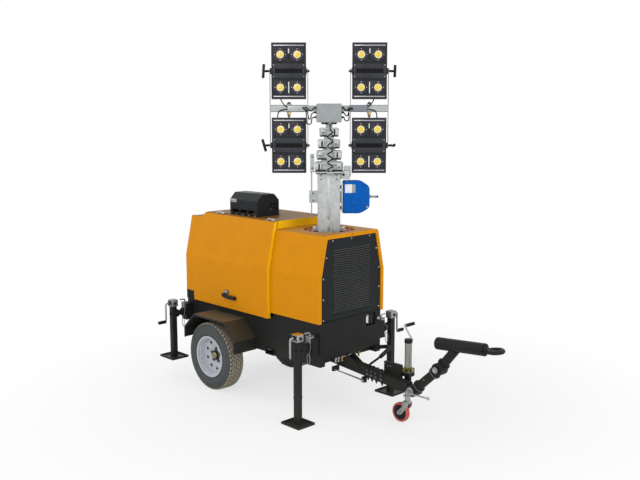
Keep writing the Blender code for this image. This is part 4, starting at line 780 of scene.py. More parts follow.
class TOWER_OT_lamps(TowerOperator, bpy.types.Operator):
    """Build the four lamps: cast frame, four LED modules, slotted driver block, fins and handle."""

    bl_idname = "tower.lamps"
    bl_label = "Lamps"

    def execute(self, context):
        for name, side in LAMPS:
            self.lamp(name, side)
        return {"FINISHED"}

    def lamp(self, name, side):
        node = "lamp_" + name
        matrix = Matrix.Translation(joint_place(node + "_tilt")) @ Matrix.Rotation(MAST_TURN, 4, "Z")
        low, high = local_box(node, matrix)
        half_w, half_h = LAMP_HALF_W, high.z
        piece = Piece(node + "_detail", node, matrix)
        piece.box((LAMP_BACK, -half_w, -half_h), (MODULE_X, half_w, half_h), "lamp", 0.004)
        for rail in BOTH:
            piece.box((LAMP_BACK, rail * half_w, -half_h), (LAMP_FRONT, rail * (half_w - 0.008), half_h),
                      "lamp", 0.002)
            piece.box((LAMP_BACK, 0.004 - half_w, rail * half_h),
                      (LAMP_FRONT, half_w - 0.004, rail * (half_h - 0.012)), "lamp", 0.002)
            strip_z = rail * (half_h - 0.024)
            piece.box((MODULE_X, 0.016 - half_w, strip_z - 0.0045),
                      (LAMP_FRONT - 0.001, half_w - 0.016, strip_z + 0.0045), "steel", 0.001)
            self.modules(piece, rail, half_h)
        self.driver(piece)
        for index in range(FIN_COUNT):
            y = (half_w - 0.012) * (2.0 * index / (FIN_COUNT - 1) - 1.0)
            piece.box((low.x, y - 0.0014, 0.014 - half_h), (LAMP_BACK + 0.001, y + 0.0014, half_h - 0.014),
                      "lamp", 0.0005, 1)
        self.handle(piece, side, HANDLE_BARS[name])
        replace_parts(piece.done(), node)

    def modules(self, piece, rail, half_h):
        """Two square modules with a round lens, their screws, and the slot between them."""
        x, z, half = MODULE_X, rail * half_h * MODULE_PLACE[1], MODULE_HALF
        for column in BOTH:
            y = column * LAMP_HALF_W * MODULE_PLACE[0]
            piece.box((x - 0.001, y - half, z - half), (x + 0.002, y + half, z + half), "lamp_face", 0.0015)
            for line, finish in ((MODULE_RING, "lamp_ring"), (LENS_RIM, "lens_rim"), (LENS, "phosphor")):
                piece.spin(line, (x + 0.002, y, z), AHEAD, finish, 36)
            for across, up in around(4, MODULE_SCREW_R):
                piece.screw((x + 0.0036, y + across, z + up), AHEAD, "lens_rim", 0.0034, 0.0018)
        # Painted shade: a near-black strip stands for the dark of the slot between the modules
        piece.box((x - 0.001, -0.0055, z - 0.052), (x + 0.0012, 0.0055, z + 0.052), "slot", 0.0005)
        # Painted light: a white strip in the slot stands for its lit stretch
        low, high = LIT_SLOTS[rail]
        piece.box((x, -0.0042, z + low), (x + 0.0024, 0.0042, z + high), "white_plate", 0.0005)
        groove, reach = rail * (DRIVER_HALF_H + 0.0125), LAMP_HALF_W - 0.014
        piece.box((x - 0.001, -reach, groove - 0.0035), (x + 0.0026, reach, groove + 0.0035),
                  "plastic", 0.0005)

    def driver(self, piece):
        """The driver block across the middle, with its band of slots and its corner screws."""
        face, half, band = LAMP_FRONT + 0.010, LAMP_HALF_W - 0.010, BAND_HALF_H
        # Painted shade: a near-black sheet behind the band of slots stands for the dark inside them
        piece.box((0.0, -half, -band), (LAMP_FRONT, half, band), "slot", 0.0)
        for end in BOTH:
            piece.box((0.0, -half, end * band), (face, half, end * DRIVER_HALF_H), "lamp", 0.004)
            piece.box((0.0, end * half, -band - 0.004), (face, end * (half - 0.022), band + 0.004),
                      "lamp", 0.003)
            for level in BOTH:
                piece.screw((face, end * (half - 0.010), level * (DRIVER_HALF_H - 0.014)), AHEAD, "steel",
                            0.0052, 0.003)
        for index in range(SLOT_COUNT + 1):
            y = (half - 0.026) * (2.0 * index / SLOT_COUNT - 1.0)
            piece.box((0.0, y - 0.0022, -band), (face - 0.002, y + 0.0022, band), "lamp_face", 0.0006, 1)

    def handle(self, piece, side, bar):
        """The clamping T-handle at the outer side, with its spring, and the knob at the inner one."""
        finish, half_w = "plastic", LAMP_HALF_W
        end = side * (half_w + HANDLE_REACH)
        piece.rod((0, side * (half_w - 0.002), 0), (0, side * (half_w + 0.010), 0), 0.026, finish, 24)
        piece.rod((0, side * half_w, 0), (0, end, 0), 0.0078, finish, 14)
        spring = [(x, side * (half_w + y), z) for x, z, y in coil(0.0105, 5, *SPRING)]
        piece.tube(spring, 0.0024, finish, True, 1)
        piece.rod((-bar[0], end - bar[1], -bar[2]), (bar[0], end + bar[1], bar[2]), 0.0120, finish, 18,
                  None, 0.003)
        foot, knob = side * -half_w, side * -half_w * 1.03
        piece.rod((0, foot, 0), (0, knob, 0), 0.030, finish, 24)
        piece.spin(LAMP_KNOB, (0, knob, 0), (0, -side, 0), finish, 16)


# Wheels

WHEEL_R = 0.325
BEAD_R = 0.1865
DISC_Y = 0.010
NUT_COUNT = 5
NUT_CIRCLE_R = 0.062
VENT_COUNT = 9
# A vent's corners, as (radius, angle)
VENT = ((0.104, 0.0), (0.142, -0.150), (0.142, 0.150))
RIM_LINE = ((0.1980, 0.0807), (0.1980, 0.0867), (0.1800, 0.0840), (0.1765, 0.0640), (0.1700, 0.0590),
            (0.1680, 0.0300), (0.1600, 0.0140), (0.1480, DISC_Y), (0.1000, DISC_Y), (0.0900, 0.0030),
            (0.0780, 0.0), (0.0330, 0.0), (0.0330, -0.0100), (0.0780, -0.0080), (0.1000, 0.0020),
            (0.1480, 0.0020), (0.1785, -0.0040), (0.1785, -0.0837), (0.1980, -0.0867), (0.1980, -0.0807),
            (0.1845, -0.0690), (0.1845, 0.0690), (0.1980, 0.0807))
HUB_RING = ((0.0330, -0.001), (0.0465, -0.001), (0.0460, 0.014), (0.0410, 0.022), (0.0345, 0.024),
            (0.0330, 0.024), (0.0330, -0.001))
HUB_CAP = ((0.0, 0.0325), (0.014, 0.0322), (0.0225, 0.0312), (0.0285, 0.0285), (0.0328, 0.0235),
           (0.0328, 0.0100), (0.0, 0.0100))
# Rows of tread blocks: middle along the axle, half width, offset in blocks
TREAD_ROWS = ((0.0, 0.0115, 0.0), (-0.0255, 0.0100, 0.5), (0.0255, 0.0100, 0.5),
              (-0.0480, 0.0085, 0.0), (0.0480, 0.0085, 0.0))
TREAD_COUNT = 48
TREAD_LENGTH = 2.0 * math.pi * WHEEL_R / TREAD_COUNT * 0.82
SHOULDER_LEAN = 0.42


class TOWER_OT_wheels(TowerOperator, bpy.types.Operator):
    """Build the tyres with their treads, and the dished rims with their nuts, cap and valve."""

    bl_idname = "tower.wheels"
    bl_label = "Wheels"

    def execute(self, context):
        for name, side in SIDES:
            hub = Matrix.Translation(joint_place("wheel_%s_spin" % name))
            self.tyre(name, hub)
            self.rim(name, side, hub)
        return {"FINISHED"}

    def tyre(self, name, hub):
        floor = WHEEL_R - sizes().tread_depth
        half = [(BEAD_R, 0.060), (BEAD_R + 0.002, 0.073), (BEAD_R + 0.010, 0.0785), (BEAD_R + 0.018, 0.0795),
                (0.214, 0.0862), (0.217, 0.0848), (0.236, 0.0905), (0.252, 0.0925), (0.268, 0.0922),
                (0.2705, 0.0906), (0.288, 0.0882), (0.300, 0.0835), (0.309, 0.0770), (floor - 0.001, 0.0690),
                (floor, 0.0560)]
        line = [(radius, -along) for radius, along in half] + half[::-1]
        piece = Piece("tyre_%s_rubber" % name, "wheel_" + name, hub)
        piece.spin(line + line[:1], (0, 0, 0), LEFT, "wall_" + name, 72)
        part = bmesh.new()
        for along, half_w, offset in TREAD_ROWS:
            self.blocks(part, floor - 0.002, WHEEL_R - 0.0004, along, half_w, offset, TREAD_LENGTH, 0.0)
        for side in BOTH:
            self.blocks(part, 0.300, 0.3185, side * 0.0665, 0.0090, 0.25, TREAD_LENGTH * 0.8,
                        side * SHOULDER_LEAN)
        piece.take(part, "tread")
        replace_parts(piece.done(), "tyre_" + name)

    def blocks(self, part, inner, outer, along, half_w, offset, length, lean):
        """One ring of tread blocks."""
        for index in range(TREAD_COUNT):
            angle = 2.0 * math.pi * (index + offset) / TREAD_COUNT
            place = (Matrix.Rotation(angle, 4, "Y") @ Matrix.Translation(((inner + outer) / 2.0, along, 0.0))
                     @ Matrix.Rotation(-lean, 4, "Z")
                     @ Matrix.Diagonal((outer - inner, 2.0 * half_w, length, 1.0)))
            bmesh.ops.create_cube(part, size=1.0, matrix=place)

    def rim(self, name, side, hub):
        """The deep-dished rim with its nuts, hub cap and valve. Its vents are black plates on the disc,
        which stand for the holes and the dark behind them: painted shade.
        """
        out = (0, side, 0)
        piece = Piece("rim_%s_dish" % name, "wheel_" + name, hub)
        piece.spin(RIM_LINE, (0, 0, 0), out, "rim", 72)
        # Painted shade: black plates on the disc stand for the vent holes and the dark behind them
        for index in range(VENT_COUNT):
            angle = 2.0 * math.pi * index / VENT_COUNT
            corners = [(radius * math.cos(angle + turn), radius * math.sin(angle + turn))
                       for radius, turn in VENT]
            piece.plate(rounded(corners, 0.004, 3), "Y", (side * (DISC_Y - 0.002), side * (DISC_Y + 0.0006)),
                        "plastic")
        for across, up in around(NUT_COUNT, NUT_CIRCLE_R, 0.25):
            piece.bolt((across, side * 0.0002, up), out, "engine", 0.021, 0.7)
        piece.spin(HUB_RING, (0, 0, 0), out, "plastic", 36)
        piece.spin(HUB_CAP, (0, 0, 0), out, "bronze", 36)
        piece.rod((0.156, side * 0.010, 0.0), (0.158, side * 0.046, 0.0), 0.0042, "rubber", 12)
        piece.rod((0.158, side * 0.044, 0.0), (0.159, side * 0.054, 0.0), 0.0048, "plastic", 12)
        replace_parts(piece.done(), "rim_" + name)


# Mast and its roller heads

TUBE_HALF = 0.095
TUBE_TOP_Z = 2.116
RING_TOP_Z = 1.586
RING_SCREW_COUNT = 12
RING_SCREW_R = 0.190
COLLAR_TOPS = (2.196, 2.295, 2.392, 2.493, 2.600)
MAST_STEP = 0.026
COLLAR_SPREAD = 0.030
FOOT_PULLEY = (0.046, 0.130, 2.086)
# Screws beside the tube's rear guide: place across, height and size
GUIDE_SCREWS = ((-0.140, 1.855, 0.014), (-0.140, 1.920, 0.014), (-0.148, 2.140, 0.012),
                (-0.148, 2.240, 0.012))
PULLEY = ((0.006, -0.006), (0.030, -0.006), (0.031, -0.004), (0.026, 0.0), (0.031, 0.004), (0.030, 0.006),
          (0.006, 0.006), (0.006, -0.006))
SMALL_PULLEY = ((0.004, -0.004), (0.018, -0.004), (0.015, 0.0), (0.018, 0.004), (0.004, 0.004),
                (0.004, -0.004))


class TOWER_OT_mast(TowerOperator, bpy.types.Operator):
    """Build the mast's small parts: cleats, roller heads, guide rods, wire rope and pulley."""

    bl_idname = "tower.mast"
    bl_label = "Mast fittings"

    def execute(self, context):
        self.foot()
        self.guides()
        for index, top in enumerate(COLLAR_TOPS, start=1):
            self.head(index, top)
        return {"FINISHED"}

    def foot(self):
        """Bolts of the four cleats on the turning ring, and the ring's own screws."""
        piece = Piece("mast_foot_fittings", "mast", MAST)
        for turn in range(4):
            place = Matrix.Translation((0, 0, RING_TOP_Z)) @ Matrix.Rotation(turn * math.pi / 2.0, 4, "Z")
            out = place.to_3x3() @ Vector(AHEAD)
            for level in (0.018, 0.038):
                piece.bolt(place @ Vector((0.1050, 0.0, level)), out, "dull_zinc", 0.012)
            piece.bolt(place @ Vector((0.1340, 0.0, 0.008)), UP, "dull_zinc", 0.014)
            for end in BOTH:
                piece.box(place @ Vector((0.098, end * 0.022 - 0.0025, 0.008)),
                          place @ Vector((0.143, end * 0.022 + 0.0025, 0.034)), "zinc", 0.001)
        for across, along in around(RING_SCREW_COUNT, RING_SCREW_R, 0.5):
            piece.bolt((across, along, RING_TOP_Z), UP, "steel", 0.011)
        piece.done()

    def guides(self):
        """Screws and brackets at the outer tube's top, the rope and its pulley."""
        piece = Piece("mast_tube_fittings", "mast", MAST)
        near = TUBE_HALF - 0.001
        for face in BOTH:
            for end in BOTH:
                for level in (0.034, 0.066):
                    piece.bolt((face * TUBE_HALF, end * 0.068, TUBE_TOP_Z - level), (face, 0, 0),
                               "dull_zinc", 0.012)
            piece.box((face * near, -0.012, 1.700), (face * (TUBE_HALF + 0.0022), 0.012, 2.060),
                      "zinc", 0.001)
            piece.box((face * near, -0.115, TUBE_TOP_Z - 0.020),
                      (face * (TUBE_HALF + 0.027), 0.115, TUBE_TOP_Z - 0.012), "plastic", 0.002)
        piece.rod((0.046, 0.1560, 2.028), (0.046, 0.1570, 2.088), 0.0030, "steel", 10)
        piece.spin(PULLEY, FOOT_PULLEY, AHEAD, "dull_zinc", 28)
        piece.bolt((0.0565, 0.128, 2.086), AHEAD, "satin_black", 0.014)
        piece.box((0.0535, 0.094, 2.048), (0.0565, 0.180, 2.123), "zinc", 0.001)
        piece.box((0.0100, 0.094, 2.120), (0.0575, 0.181, 2.1235), "edge_black", 0.001)
        piece.box((0.0100, 0.1780, 2.040), (0.0575, 0.1810, 2.1235), "edge_black", 0.001)
        for across, level, size in GUIDE_SCREWS:
            piece.bolt((0.022, across, level), AHEAD, "dull_zinc", size)
        piece.rod((0.0, -0.154, 1.700), (0.0, -0.154, 1.960), 0.0045, "bright_zinc", 12)
        piece.done()

    def head(self, index, top):
        """A section's head: a bolted guide block at one side and a rope pulley at the other."""
        outer = TUBE_HALF - MAST_STEP * index / 2.0
        spread = outer + COLLAR_SPREAD
        near, far = outer + 0.0005, spread + 0.003
        low, high = top - 0.062, top - 0.014
        piece = Piece("mast_head_%d" % index, "mast_section_%d" % index, MAST)
        for face in BOTH:
            side = face if index % 2 else -face
            at = side * (outer + 0.006)
            piece.box((face * near, at - 0.019, low), (face * far, at + 0.019, high), "zinc", 0.004)
            piece.bolt((face * far, at, (low + high) / 2.0 - 0.004), (face, 0, 0), "dull_zinc", 0.017)
            for start, end in ((outer - 0.016, outer - 0.003), (outer + 0.010, spread + 0.008)):
                piece.box((face * near, -side * start, low), (face * far, -side * end, high), "zinc", 0.003)
            rope_x, rope_y = face * (spread + 0.002), -side * (outer + 0.0035)
            piece.spin(SMALL_PULLEY, (face * (spread - 0.010), rope_y, high - 0.018), LEFT, "plastic", 20)
            piece.rod((rope_x, rope_y, low - 0.002), (rope_x, rope_y, high + 0.004), 0.0030, "plastic", 8)
            # Painted shadow: a thin black slab under the guide blocks stands for the shade beneath them
            for end in BOTH:
                piece.box((face * (outer + 0.001), end * outer * 0.30, top - 0.0760),
                          (face * (spread + 0.005), end * (spread + 0.006), top - 0.0650), "plastic", 0.003)
                piece.screw((face * outer * 0.6, end * (spread - 0.008), top), UP, "dull_zinc", 0.005)
        piece.done()


# The curly cord and the cables

# The coil's place along X and Y of the mast, and its turns' middle radius
CORD_COIL = (0.146, 0.011, 0.0224)
# Heights of the coil's foot, of its last turn, and of the junction box
CORD_Z = (2.1163, 2.481, 2.5407)
CORD_LEAD_X = 0.137
TURN_STEPS = 26
LEAD_STEPS = 8
CABLE_BEND = 0.0215
# Routes of the cables: ahead, out from the mast's middle, and up from the bar's
CABLE_ROUTES = {
    "left": {
        "outer": ((0.105, 0.127, -0.075), (0.103, 0.149, -0.080), (0.098, 0.153, -0.1355),
                  (0.086, 0.194, -0.1355), (0.036, 0.200, -0.008), (0.034, 0.232, 0.0)),
        "inner": ((0.105, 0.127, -0.035), (0.102, 0.150, -0.042), (0.090, 0.170, -0.140),
                  (0.036, 0.190, -0.012), (0.034, 0.222, -0.008)),
        "upper": ((0.105, 0.127, 0.005), (0.078, 0.160, -0.026), (0.034, 0.200, 0.012),
                  (0.034, 0.232, 0.006))},
    "right": {
        "outer": ((0.105, 0.127, -0.075), (0.101, 0.138, -0.1065), (0.090, 0.172, -0.1065),
                  (0.036, 0.172, -0.008), (0.034, 0.206, 0.0)),
        "inner": ((0.105, 0.127, -0.035), (0.096, 0.156, -0.082), (0.036, 0.176, -0.010),
                  (0.034, 0.208, -0.006)),
        "upper": ((0.105, 0.127, 0.005), (0.074, 0.150, -0.026), (0.034, 0.176, 0.008),
                  (0.034, 0.208, 0.004))},
}
# Routes of the lamps' leads: ahead, out from where they leave the sleeves, and up from the bar's middle
LEAD_ROUTES = {
    "upper": ((0.0340, -0.010, 0.010), (0.0350, 0.006, 0.020), (0.0300, 0.030, 0.046),
              (0.0200, 0.042, 0.064), (0.0120, 0.048, 0.083)),
    "lower": ((0.0340, -0.010, -0.008), (0.0360, 0.020, -0.010), (0.0320, 0.058, -0.022),
              (0.0220, 0.074, -0.050), (0.0120, 0.077, -0.083)),
}
LEAD_STARTS = {"left": 0.372, "right": 0.340}


def curved(points, steps=6):
    """A smooth line through points."""
    made = []
    ends = [2.0 * Vector(points[0]) - Vector(points[1])] + [Vector(point) for point in points]
    ends.append(2.0 * ends[-1] - ends[-2])
    for before, start, end, after in zip(ends, ends[1:], ends[2:], ends[3:]):
        for step in range(steps):
            share = step / steps
            made.append(0.5 * (2.0 * start + (end - before) * share
                               + (2.0 * before - 5.0 * start + 4.0 * end - after) * share * share
                               + (3.0 * start - before - 3.0 * end + after) * share * share * share))
    return made + [ends[-2]]


def bent(points, radius, steps=6):
    """A line through straight runs whose corners are arcs of one radius."""
    points = [Vector(point) for point in points]
    made = [points[0]]
    for before, corner, after in zip(points, points[1:], points[2:]):
        come = (corner - before).normalized()
        go = (after - corner).normalized()
        turn = come.angle(go)
        reach = radius * math.tan(turn / 2.0)
        centre = corner + (go - come).normalized() * radius / math.cos(turn / 2.0)
        out = corner - come * reach - centre
        for step in range(steps + 1):
            angle = turn * step / steps
            made.append(centre + out * math.cos(angle) + come * radius * math.sin(angle))
    return made + [points[-1]]


class TOWER_OT_cord(TowerOperator, bpy.types.Operator):
    """Build the curly cord in five parts, cut at even heights from the coil's foot to the junction box."""

    bl_idname = "tower.cord"
    bl_label = "Curly cord"

    def execute(self, context):
        points = self.path(sizes().cord_turns)
        foot, end = CORD_Z[0], CORD_Z[2]
        levels = [foot + (end - foot) * index / 5.0 for index in range(6)]
        for index, (low, high) in enumerate(zip(levels, levels[1:])):
            piece = Piece("curly_cord_%d" % (index + 1), None, MAST)
            line = self.between(points, low, high)
            piece.tube(line, sizes().cord_wire / 2.0, "cable", False, 3)
            obj = piece.done()
            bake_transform(obj)
            if index == 0:
                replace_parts(obj, "mast_cord")
        return {"FINISHED"}

    def path(self, turns):
        """Points of the coil, and of its straight lead up to the box."""
        across, side, radius = CORD_COIL
        foot, last, end = CORD_Z
        steps = TURN_STEPS * turns
        points = []
        for step in range(steps + 1):
            share = step / steps
            angle = 2.0 * math.pi * turns * share
            wide = radius * min(1.0, 0.85 + share * 3.0, 0.30 + (1.0 - share) * 9.0)
            rise = share * (0.84 + 0.16 * share)
            points.append(Vector((across + wide * math.cos(angle), side - wide * math.sin(angle),
                                  foot + (last - foot) * rise)))
        top = points[-1]
        for step in range(1, LEAD_STEPS + 1):
            share = step / LEAD_STEPS
            ease = share * share * (3.0 - 2.0 * share)
            points.append(Vector((top.x + (CORD_LEAD_X - top.x) * ease,
                                  top.y + (side - 0.004 - top.y) * ease, last + (end - last) * share)))
        return points

    def between(self, points, low, high):
        """The part of a rising line between two heights."""
        kept = []
        for first, second in zip(points, points[1:]):
            for level in (low, high):
                if first.z < level < second.z:
                    kept.append(first.lerp(second, (level - first.z) / (second.z - first.z)))
            if low <= second.z <= high:
                kept.append(second)
        if low <= points[0].z <= high:
            kept.insert(0, points[0])
        return sorted(kept, key=lambda point: point.z)


# Winch

WINCH_NEAR_Y = 0.119
WINCH_RING = ((0.0, 0.0020), (0.030, 0.0020), (0.034, 0.0045), (0.039, 0.0035), (0.041, 0.0), (0.0, 0.0))
WINCH_BOSS = ((0.0, 0.004), (0.021, 0.004), (0.024, 0.0), (0.0, 0.0))
STUB_LINE = ((0.0, 0.0640), (0.0085, 0.0640), (0.0105, 0.0610), (0.0105, 0.046), (0.0080, 0.044),
             (0.0080, 0.020), (0.0110, 0.018), (0.0110, 0.003), (0.0, 0.003))
STUB_KNOB = ((0.0, 0.0796), (0.0050, 0.0790), (0.0090, 0.0755), (0.0105, 0.0710), (0.0090, 0.0655),
             (0.0050, 0.0625), (0.0, 0.0625))


class TOWER_OT_winch(TowerOperator, bpy.types.Operator):
    """Build the blue mast winch with its blank plate, screws and crank stub."""

    bl_idname = "tower.winch"
    bl_label = "Winch"

    def execute(self, context):
        low, high = local_box("winch", MAST)
        self.case(high.x, WINCH_NEAR_Y, high.y, low.z, high.z)
        self.stub(high.y, (low.z + high.z) / 2.0)
        return {"FINISHED"}

    def case(self, half, near, far, low, high):
        """The case, from half its thickness, its reach from the mast and its heights."""
        piece = Piece("winch_case", "mast", MAST)
        piece.plate(self.outline(near, far, low, high), "X", (-half + 0.012, half - 0.012), "winch", 0.003)
        inner = self.outline(near + 0.008, far - 0.007, low + 0.008, high - 0.008)
        for face in BOTH:
            piece.plate(inner, "X", (face * (half - 0.014), face * half), "winch", 0.004)
            for y, z in ((near + 0.024, low + 0.022), (near + 0.024, high - 0.020),
                         (far - 0.045, high - 0.048)):
                piece.bolt((face * half, y, z), (face, 0, 0), "winch", 0.011)
            piece.bolt((face * half, far - 0.022, low + 0.060), (face, 0, 0), "steel", 0.011)
        piece.box((half - 0.001, near + 0.022, high - 0.110), (half + 0.0012, near + 0.084, high - 0.034),
                  "white_plate", 0.0008)
        piece.box((half - 0.001, near + 0.083, high - 0.108), (half + 0.0010, near + 0.114, high - 0.036),
                  "box", 0.0008)
        piece.spin(WINCH_RING, (half, near + 0.114, high - 0.176), AHEAD, "winch", 32)
        piece.box((0.020, near - 0.010, low + 0.014), (half + 0.002, near + 0.003, high - 0.012),
                  "zinc", 0.002)
        piece.spin(WINCH_BOSS, (0.0, far - 0.001, (low + high) / 2.0), LEFT, "dull_zinc", 28)
        piece.box((-0.028, TUBE_HALF + 0.006, low + 0.095), (0.028, near + 0.004, high - 0.100),
                  "zinc", 0.003)
        for level in (low + 0.048, high - 0.062):
            piece.box((-0.020, TUBE_HALF + 0.002, level - 0.014), (0.026, near + 0.004, level + 0.014),
                      "edge_black", 0.003)
            piece.bolt((0.026, TUBE_HALF + 0.012, level), AHEAD, "plastic", 0.014)
        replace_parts(piece.done(), "winch")

    def stub(self, start, z):
        piece = Piece("winch_stub", "mast", MAST)
        piece.spin(STUB_LINE, (0.0, start, z), LEFT, "dull_zinc", 24)
        piece.spin(STUB_KNOB, (0.0, start, z), LEFT, "plastic", 20)
        piece.rod((-0.013, start + 0.052, z), (0.013, start + 0.052, z), 0.0026, "steel", 10)
        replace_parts(piece.done(), "winch_crank")

    def outline(self, near, far, low, high):
        """The case from the front: nearly square at the mast, flattened arcs away from it."""
        return rounded([(near, low), (far - 0.082, low), (far, low + 0.050), (far, high - 0.056),
                        (far - 0.082, high), (near, high)], (0.014, 0.110, 0.050, 0.050, 0.110, 0.014), 8)


# Mast head

NUT_Y = 0.350
# Half the height of the yokes' feet on the bar
YOKE_HALF_H = 0.0315
GLAND_LEVELS = (-0.075, -0.035, 0.005)
BOLT_DOME = ((0.0, 0.026), (0.008, 0.0245), (0.014, 0.019), (0.0175, 0.010), (0.0185, 0.0), (0.0, 0.0))
NUT_POINT = ((0.016, 0.0), (0.0155, 0.004), (0.010, 0.012), (0.0055, 0.022), (0.0, 0.026), (0.0, 0.0))


class TOWER_OT_head(TowerOperator, bpy.types.Operator):
    """Build the junction box, its glands and loops of cable, and the crossbar's fittings."""

    bl_idname = "tower.head"
    bl_label = "Mast head"

    def execute(self, context):
        self.box()
        self.bar()
        self.cables()
        return {"FINISHED"}

    def box(self):
        low, high = local_box("junction_box", MAST)
        split = high.x - 0.030
        piece = Piece("junction_box_case", "mast_section_5", MAST)
        piece.box(low, (split - 0.001, high.y, high.z), "box", 0.009, 4)
        piece.box((split - 0.006, low.y + 0.004, low.z + 0.004),
                  (split + 0.004, high.y - 0.004, high.z - 0.004), "rubber", 0.004)
        piece.box((split + 0.001, low.y, low.z), high, "box", 0.010, 4)
        for y in (low.y + 0.012, high.y - 0.012):
            for z in (low.z + 0.012, high.z - 0.012):
                piece.screw((high.x - 0.0006, y, z), AHEAD, "box", 0.0050, 0.0018)
        for side, start in ((-1, low.y), (1, high.y)):
            for level in GLAND_LEVELS:
                at = Vector((0.105, start, BAR_Z + level))
                piece.rod(at, at + Vector((0, side * 0.007, 0)), 0.0115, "plastic", 6)
                piece.rod(at, at + Vector((0, side * 0.020, 0)), 0.0090, "plastic", 20, 0.0072)
        lead = Vector((CORD_LEAD_X, 0.007, low.z))
        piece.rod(lead, lead - Vector((0, 0, 0.006)), 0.0120, "box", 6)
        piece.rod(lead, lead - Vector((0, 0, 0.017)), 0.0090, "box", 18, 0.0068)
        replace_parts(piece.done(), "junction_box")

    def bar(self):
        """Yoke bolts with domed tops and pointed nuts, end caps, clamps, and a sleeve at the right."""
        piece = Piece("crossbar_fittings", "mast_section_5", MAST)
        low, high = BAR_Z - YOKE_HALF_H, BAR_Z + YOKE_HALF_H
        for side in BOTH:
            piece.box((-0.0235, side * 0.5125, BAR_Z - 0.0235), (0.0235, side * 0.5165, BAR_Z + 0.0235),
                      "plastic", 0.003)
            y = side * NUT_Y
            piece.spin(BOLT_DOME, (0, y, high), UP, "engine", 24)
            piece.rod((0, y, high - 0.001), (0, y, high + 0.005), 0.0245, "bright_zinc", 28)
            piece.rod((0, y, low), (0, y, low - 0.006), 0.0225, "bright_zinc", 28)
            piece.rod((0, y, low - 0.004), (0, y, low - 0.024), 0.0180, "brass", 6)
            piece.spin(NUT_POINT, (0, y, low - 0.024), (0, 0, -1), "brass", 20)
            for end in BOTH:
                piece.screw((0.0255, y + end * 0.045, BAR_Z), AHEAD, "steel", 0.005)
        for start, end, finish in ((0.172, 0.334, "sleeve"), (-0.366, -0.205, "bar_zinc")):
            piece.box((-0.030, start, BAR_Z - 0.0265), (0.0365, end, BAR_Z + 0.0265), finish, 0.006, 4)
        piece.box((-0.040, -0.062, BAR_Z - 0.0285), (0.0275, 0.062, BAR_Z + 0.0285), "zinc", 0.003)
        for end in BOTH:
            for level in BOTH:
                piece.bolt((-0.040, end * 0.045, BAR_Z + level * 0.016), (-1, 0, 0), "dull_zinc", 0.013)
        piece.done()

    def cables(self):
        """Loops of cable from the box's glands to the bar, and the lamps' leads from the bar's ends."""
        for word, side in (("left", -1), ("right", 1)):
            for name, route in CABLE_ROUTES[word].items():
                line = bent([(x, side * s, BAR_Z + z) for x, s, z in route], CABLE_BEND)
                self.lead("cable_%s_%s" % (word, name), line, None)
            for level, route in LEAD_ROUTES.items():
                line = curved([(x, side * (LEAD_STARTS[word] + s), BAR_Z + z) for x, s, z in route], 5)
                self.lead("lead_%s_%s" % (level, word), line, "lamp_%s_%s" % (level, word))

    def lead(self, name, line, lamp):
        """One cable of the mast's head. A cable rides on the top mast section; a lamp's lead rides on no
        body, and its place is baked into its mesh.
        """
        piece = Piece(name, None if lamp else "mast_section_5", MAST)
        piece.tube(line, sizes().lead / 2.0, "cable", False, 3)
        obj = piece.done()
        if lamp:
            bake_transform(obj)


# Housing

GRILLE_X = 0.202
FRONT_X = 0.214
SILL_X = 0.204
RECESS_X = FRONT_X - 0.045
REAR_ROOF_Z = 1.667
LEAF_TOP_Z = REAR_ROOF_Z + 0.0052
HINGE_Y = 0.312
HINGE_Z = REAR_ROOF_Z + 0.007
HINGE_XS = (-0.120, 0.610)
HOOD_COUNT = 28
HOOD_TOP_Z = 1.4596
HOOD_STEP = 0.020
HOOD_LEAN = math.radians(28)
HOOD_SAG = 0.012
GRILLE_SCREW_ZS = (1.405, 1.227, 1.048, 0.866)
DRAIN_TOP_Z = 0.510
# Drains under the sill: place across, finish and length
DRAINS = ((-0.170, "steel", 0.042), (-0.135, "steel", 0.044), (-0.089, "brass", 0.046),
          (0.076, "brass", 0.048), (0.125, "brass", 0.044))
DRAIN_HOSE = ((0.180, -0.089, 0.496), (0.192, -0.050, 0.494), (0.196, 0.010, 0.500), (0.182, 0.060, 0.510))
DIAL = (RECESS_X, 0.236, 0.780)
DIAL_CASE = ((0.0, 0.020), (0.034, 0.020), (0.034, 0.022), (0.040, 0.022), (0.042, 0.018), (0.042, 0.0),
             (0.0, 0.0))
DIAL_FACE = ((0.0, 0.0212), (0.0335, 0.0212), (0.0335, 0.0195), (0.0, 0.0195))
SILL_CAP = ((0.0, 0.020), (0.010, 0.020), (0.014, 0.016), (0.016, 0.006), (0.013, 0.0), (0.0, 0.0))
# The latch's middle, and its plates: outline round it, radii, steps, span from the middle, finish, rounding
LATCH = (0.137, 0.905)
LATCH_PLATES = (
    (((-0.102, 0.024), (-0.102, -0.006), (-0.040, -0.0175), (0.102, -0.0175), (0.102, 0.0170),
      (-0.020, 0.0170), (-0.070, 0.026)), (0.010, 0.010, 0.020, 0.012, 0.012, 0.030, 0.010), 5,
     (0.4345, 0.4560), "plastic", 0.004),
    (((-0.060, 0.010), (-0.060, -0.006), (0.092, -0.011), (0.092, 0.009)), (0.005, 0.005, 0.008, 0.008), 4,
     (0.4540, 0.4620), "satin_black", 0.002),
    (((-0.078, 0.022), (-0.014, 0.022), (-0.014, 0.064), (-0.078, 0.064)), 0.016, 6,
     (0.4345, 0.4400), "edge_black", 0.002),
)
LOCK = ((0.0, 0.012), (0.013, 0.012), (0.017, 0.008), (0.018, 0.0), (0.0, 0.0))
# The exhaust guard's folded edges: places along the trailer, and the two outlines of each
GUARD_EDGE_XS = (0.3475, -0.0505)
GUARD_OUTER = ((-0.2630, 1.672), (0.0050, 1.672), (0.0050, 1.811), (-0.0570, 1.8730), (-0.2010, 1.8730),
               (-0.2630, 1.811))
GUARD_INNER = ((-0.2550, 1.680), (-0.0030, 1.680), (-0.0030, 1.807), (-0.0600, 1.8650), (-0.1980, 1.8650),
               (-0.2550, 1.807))


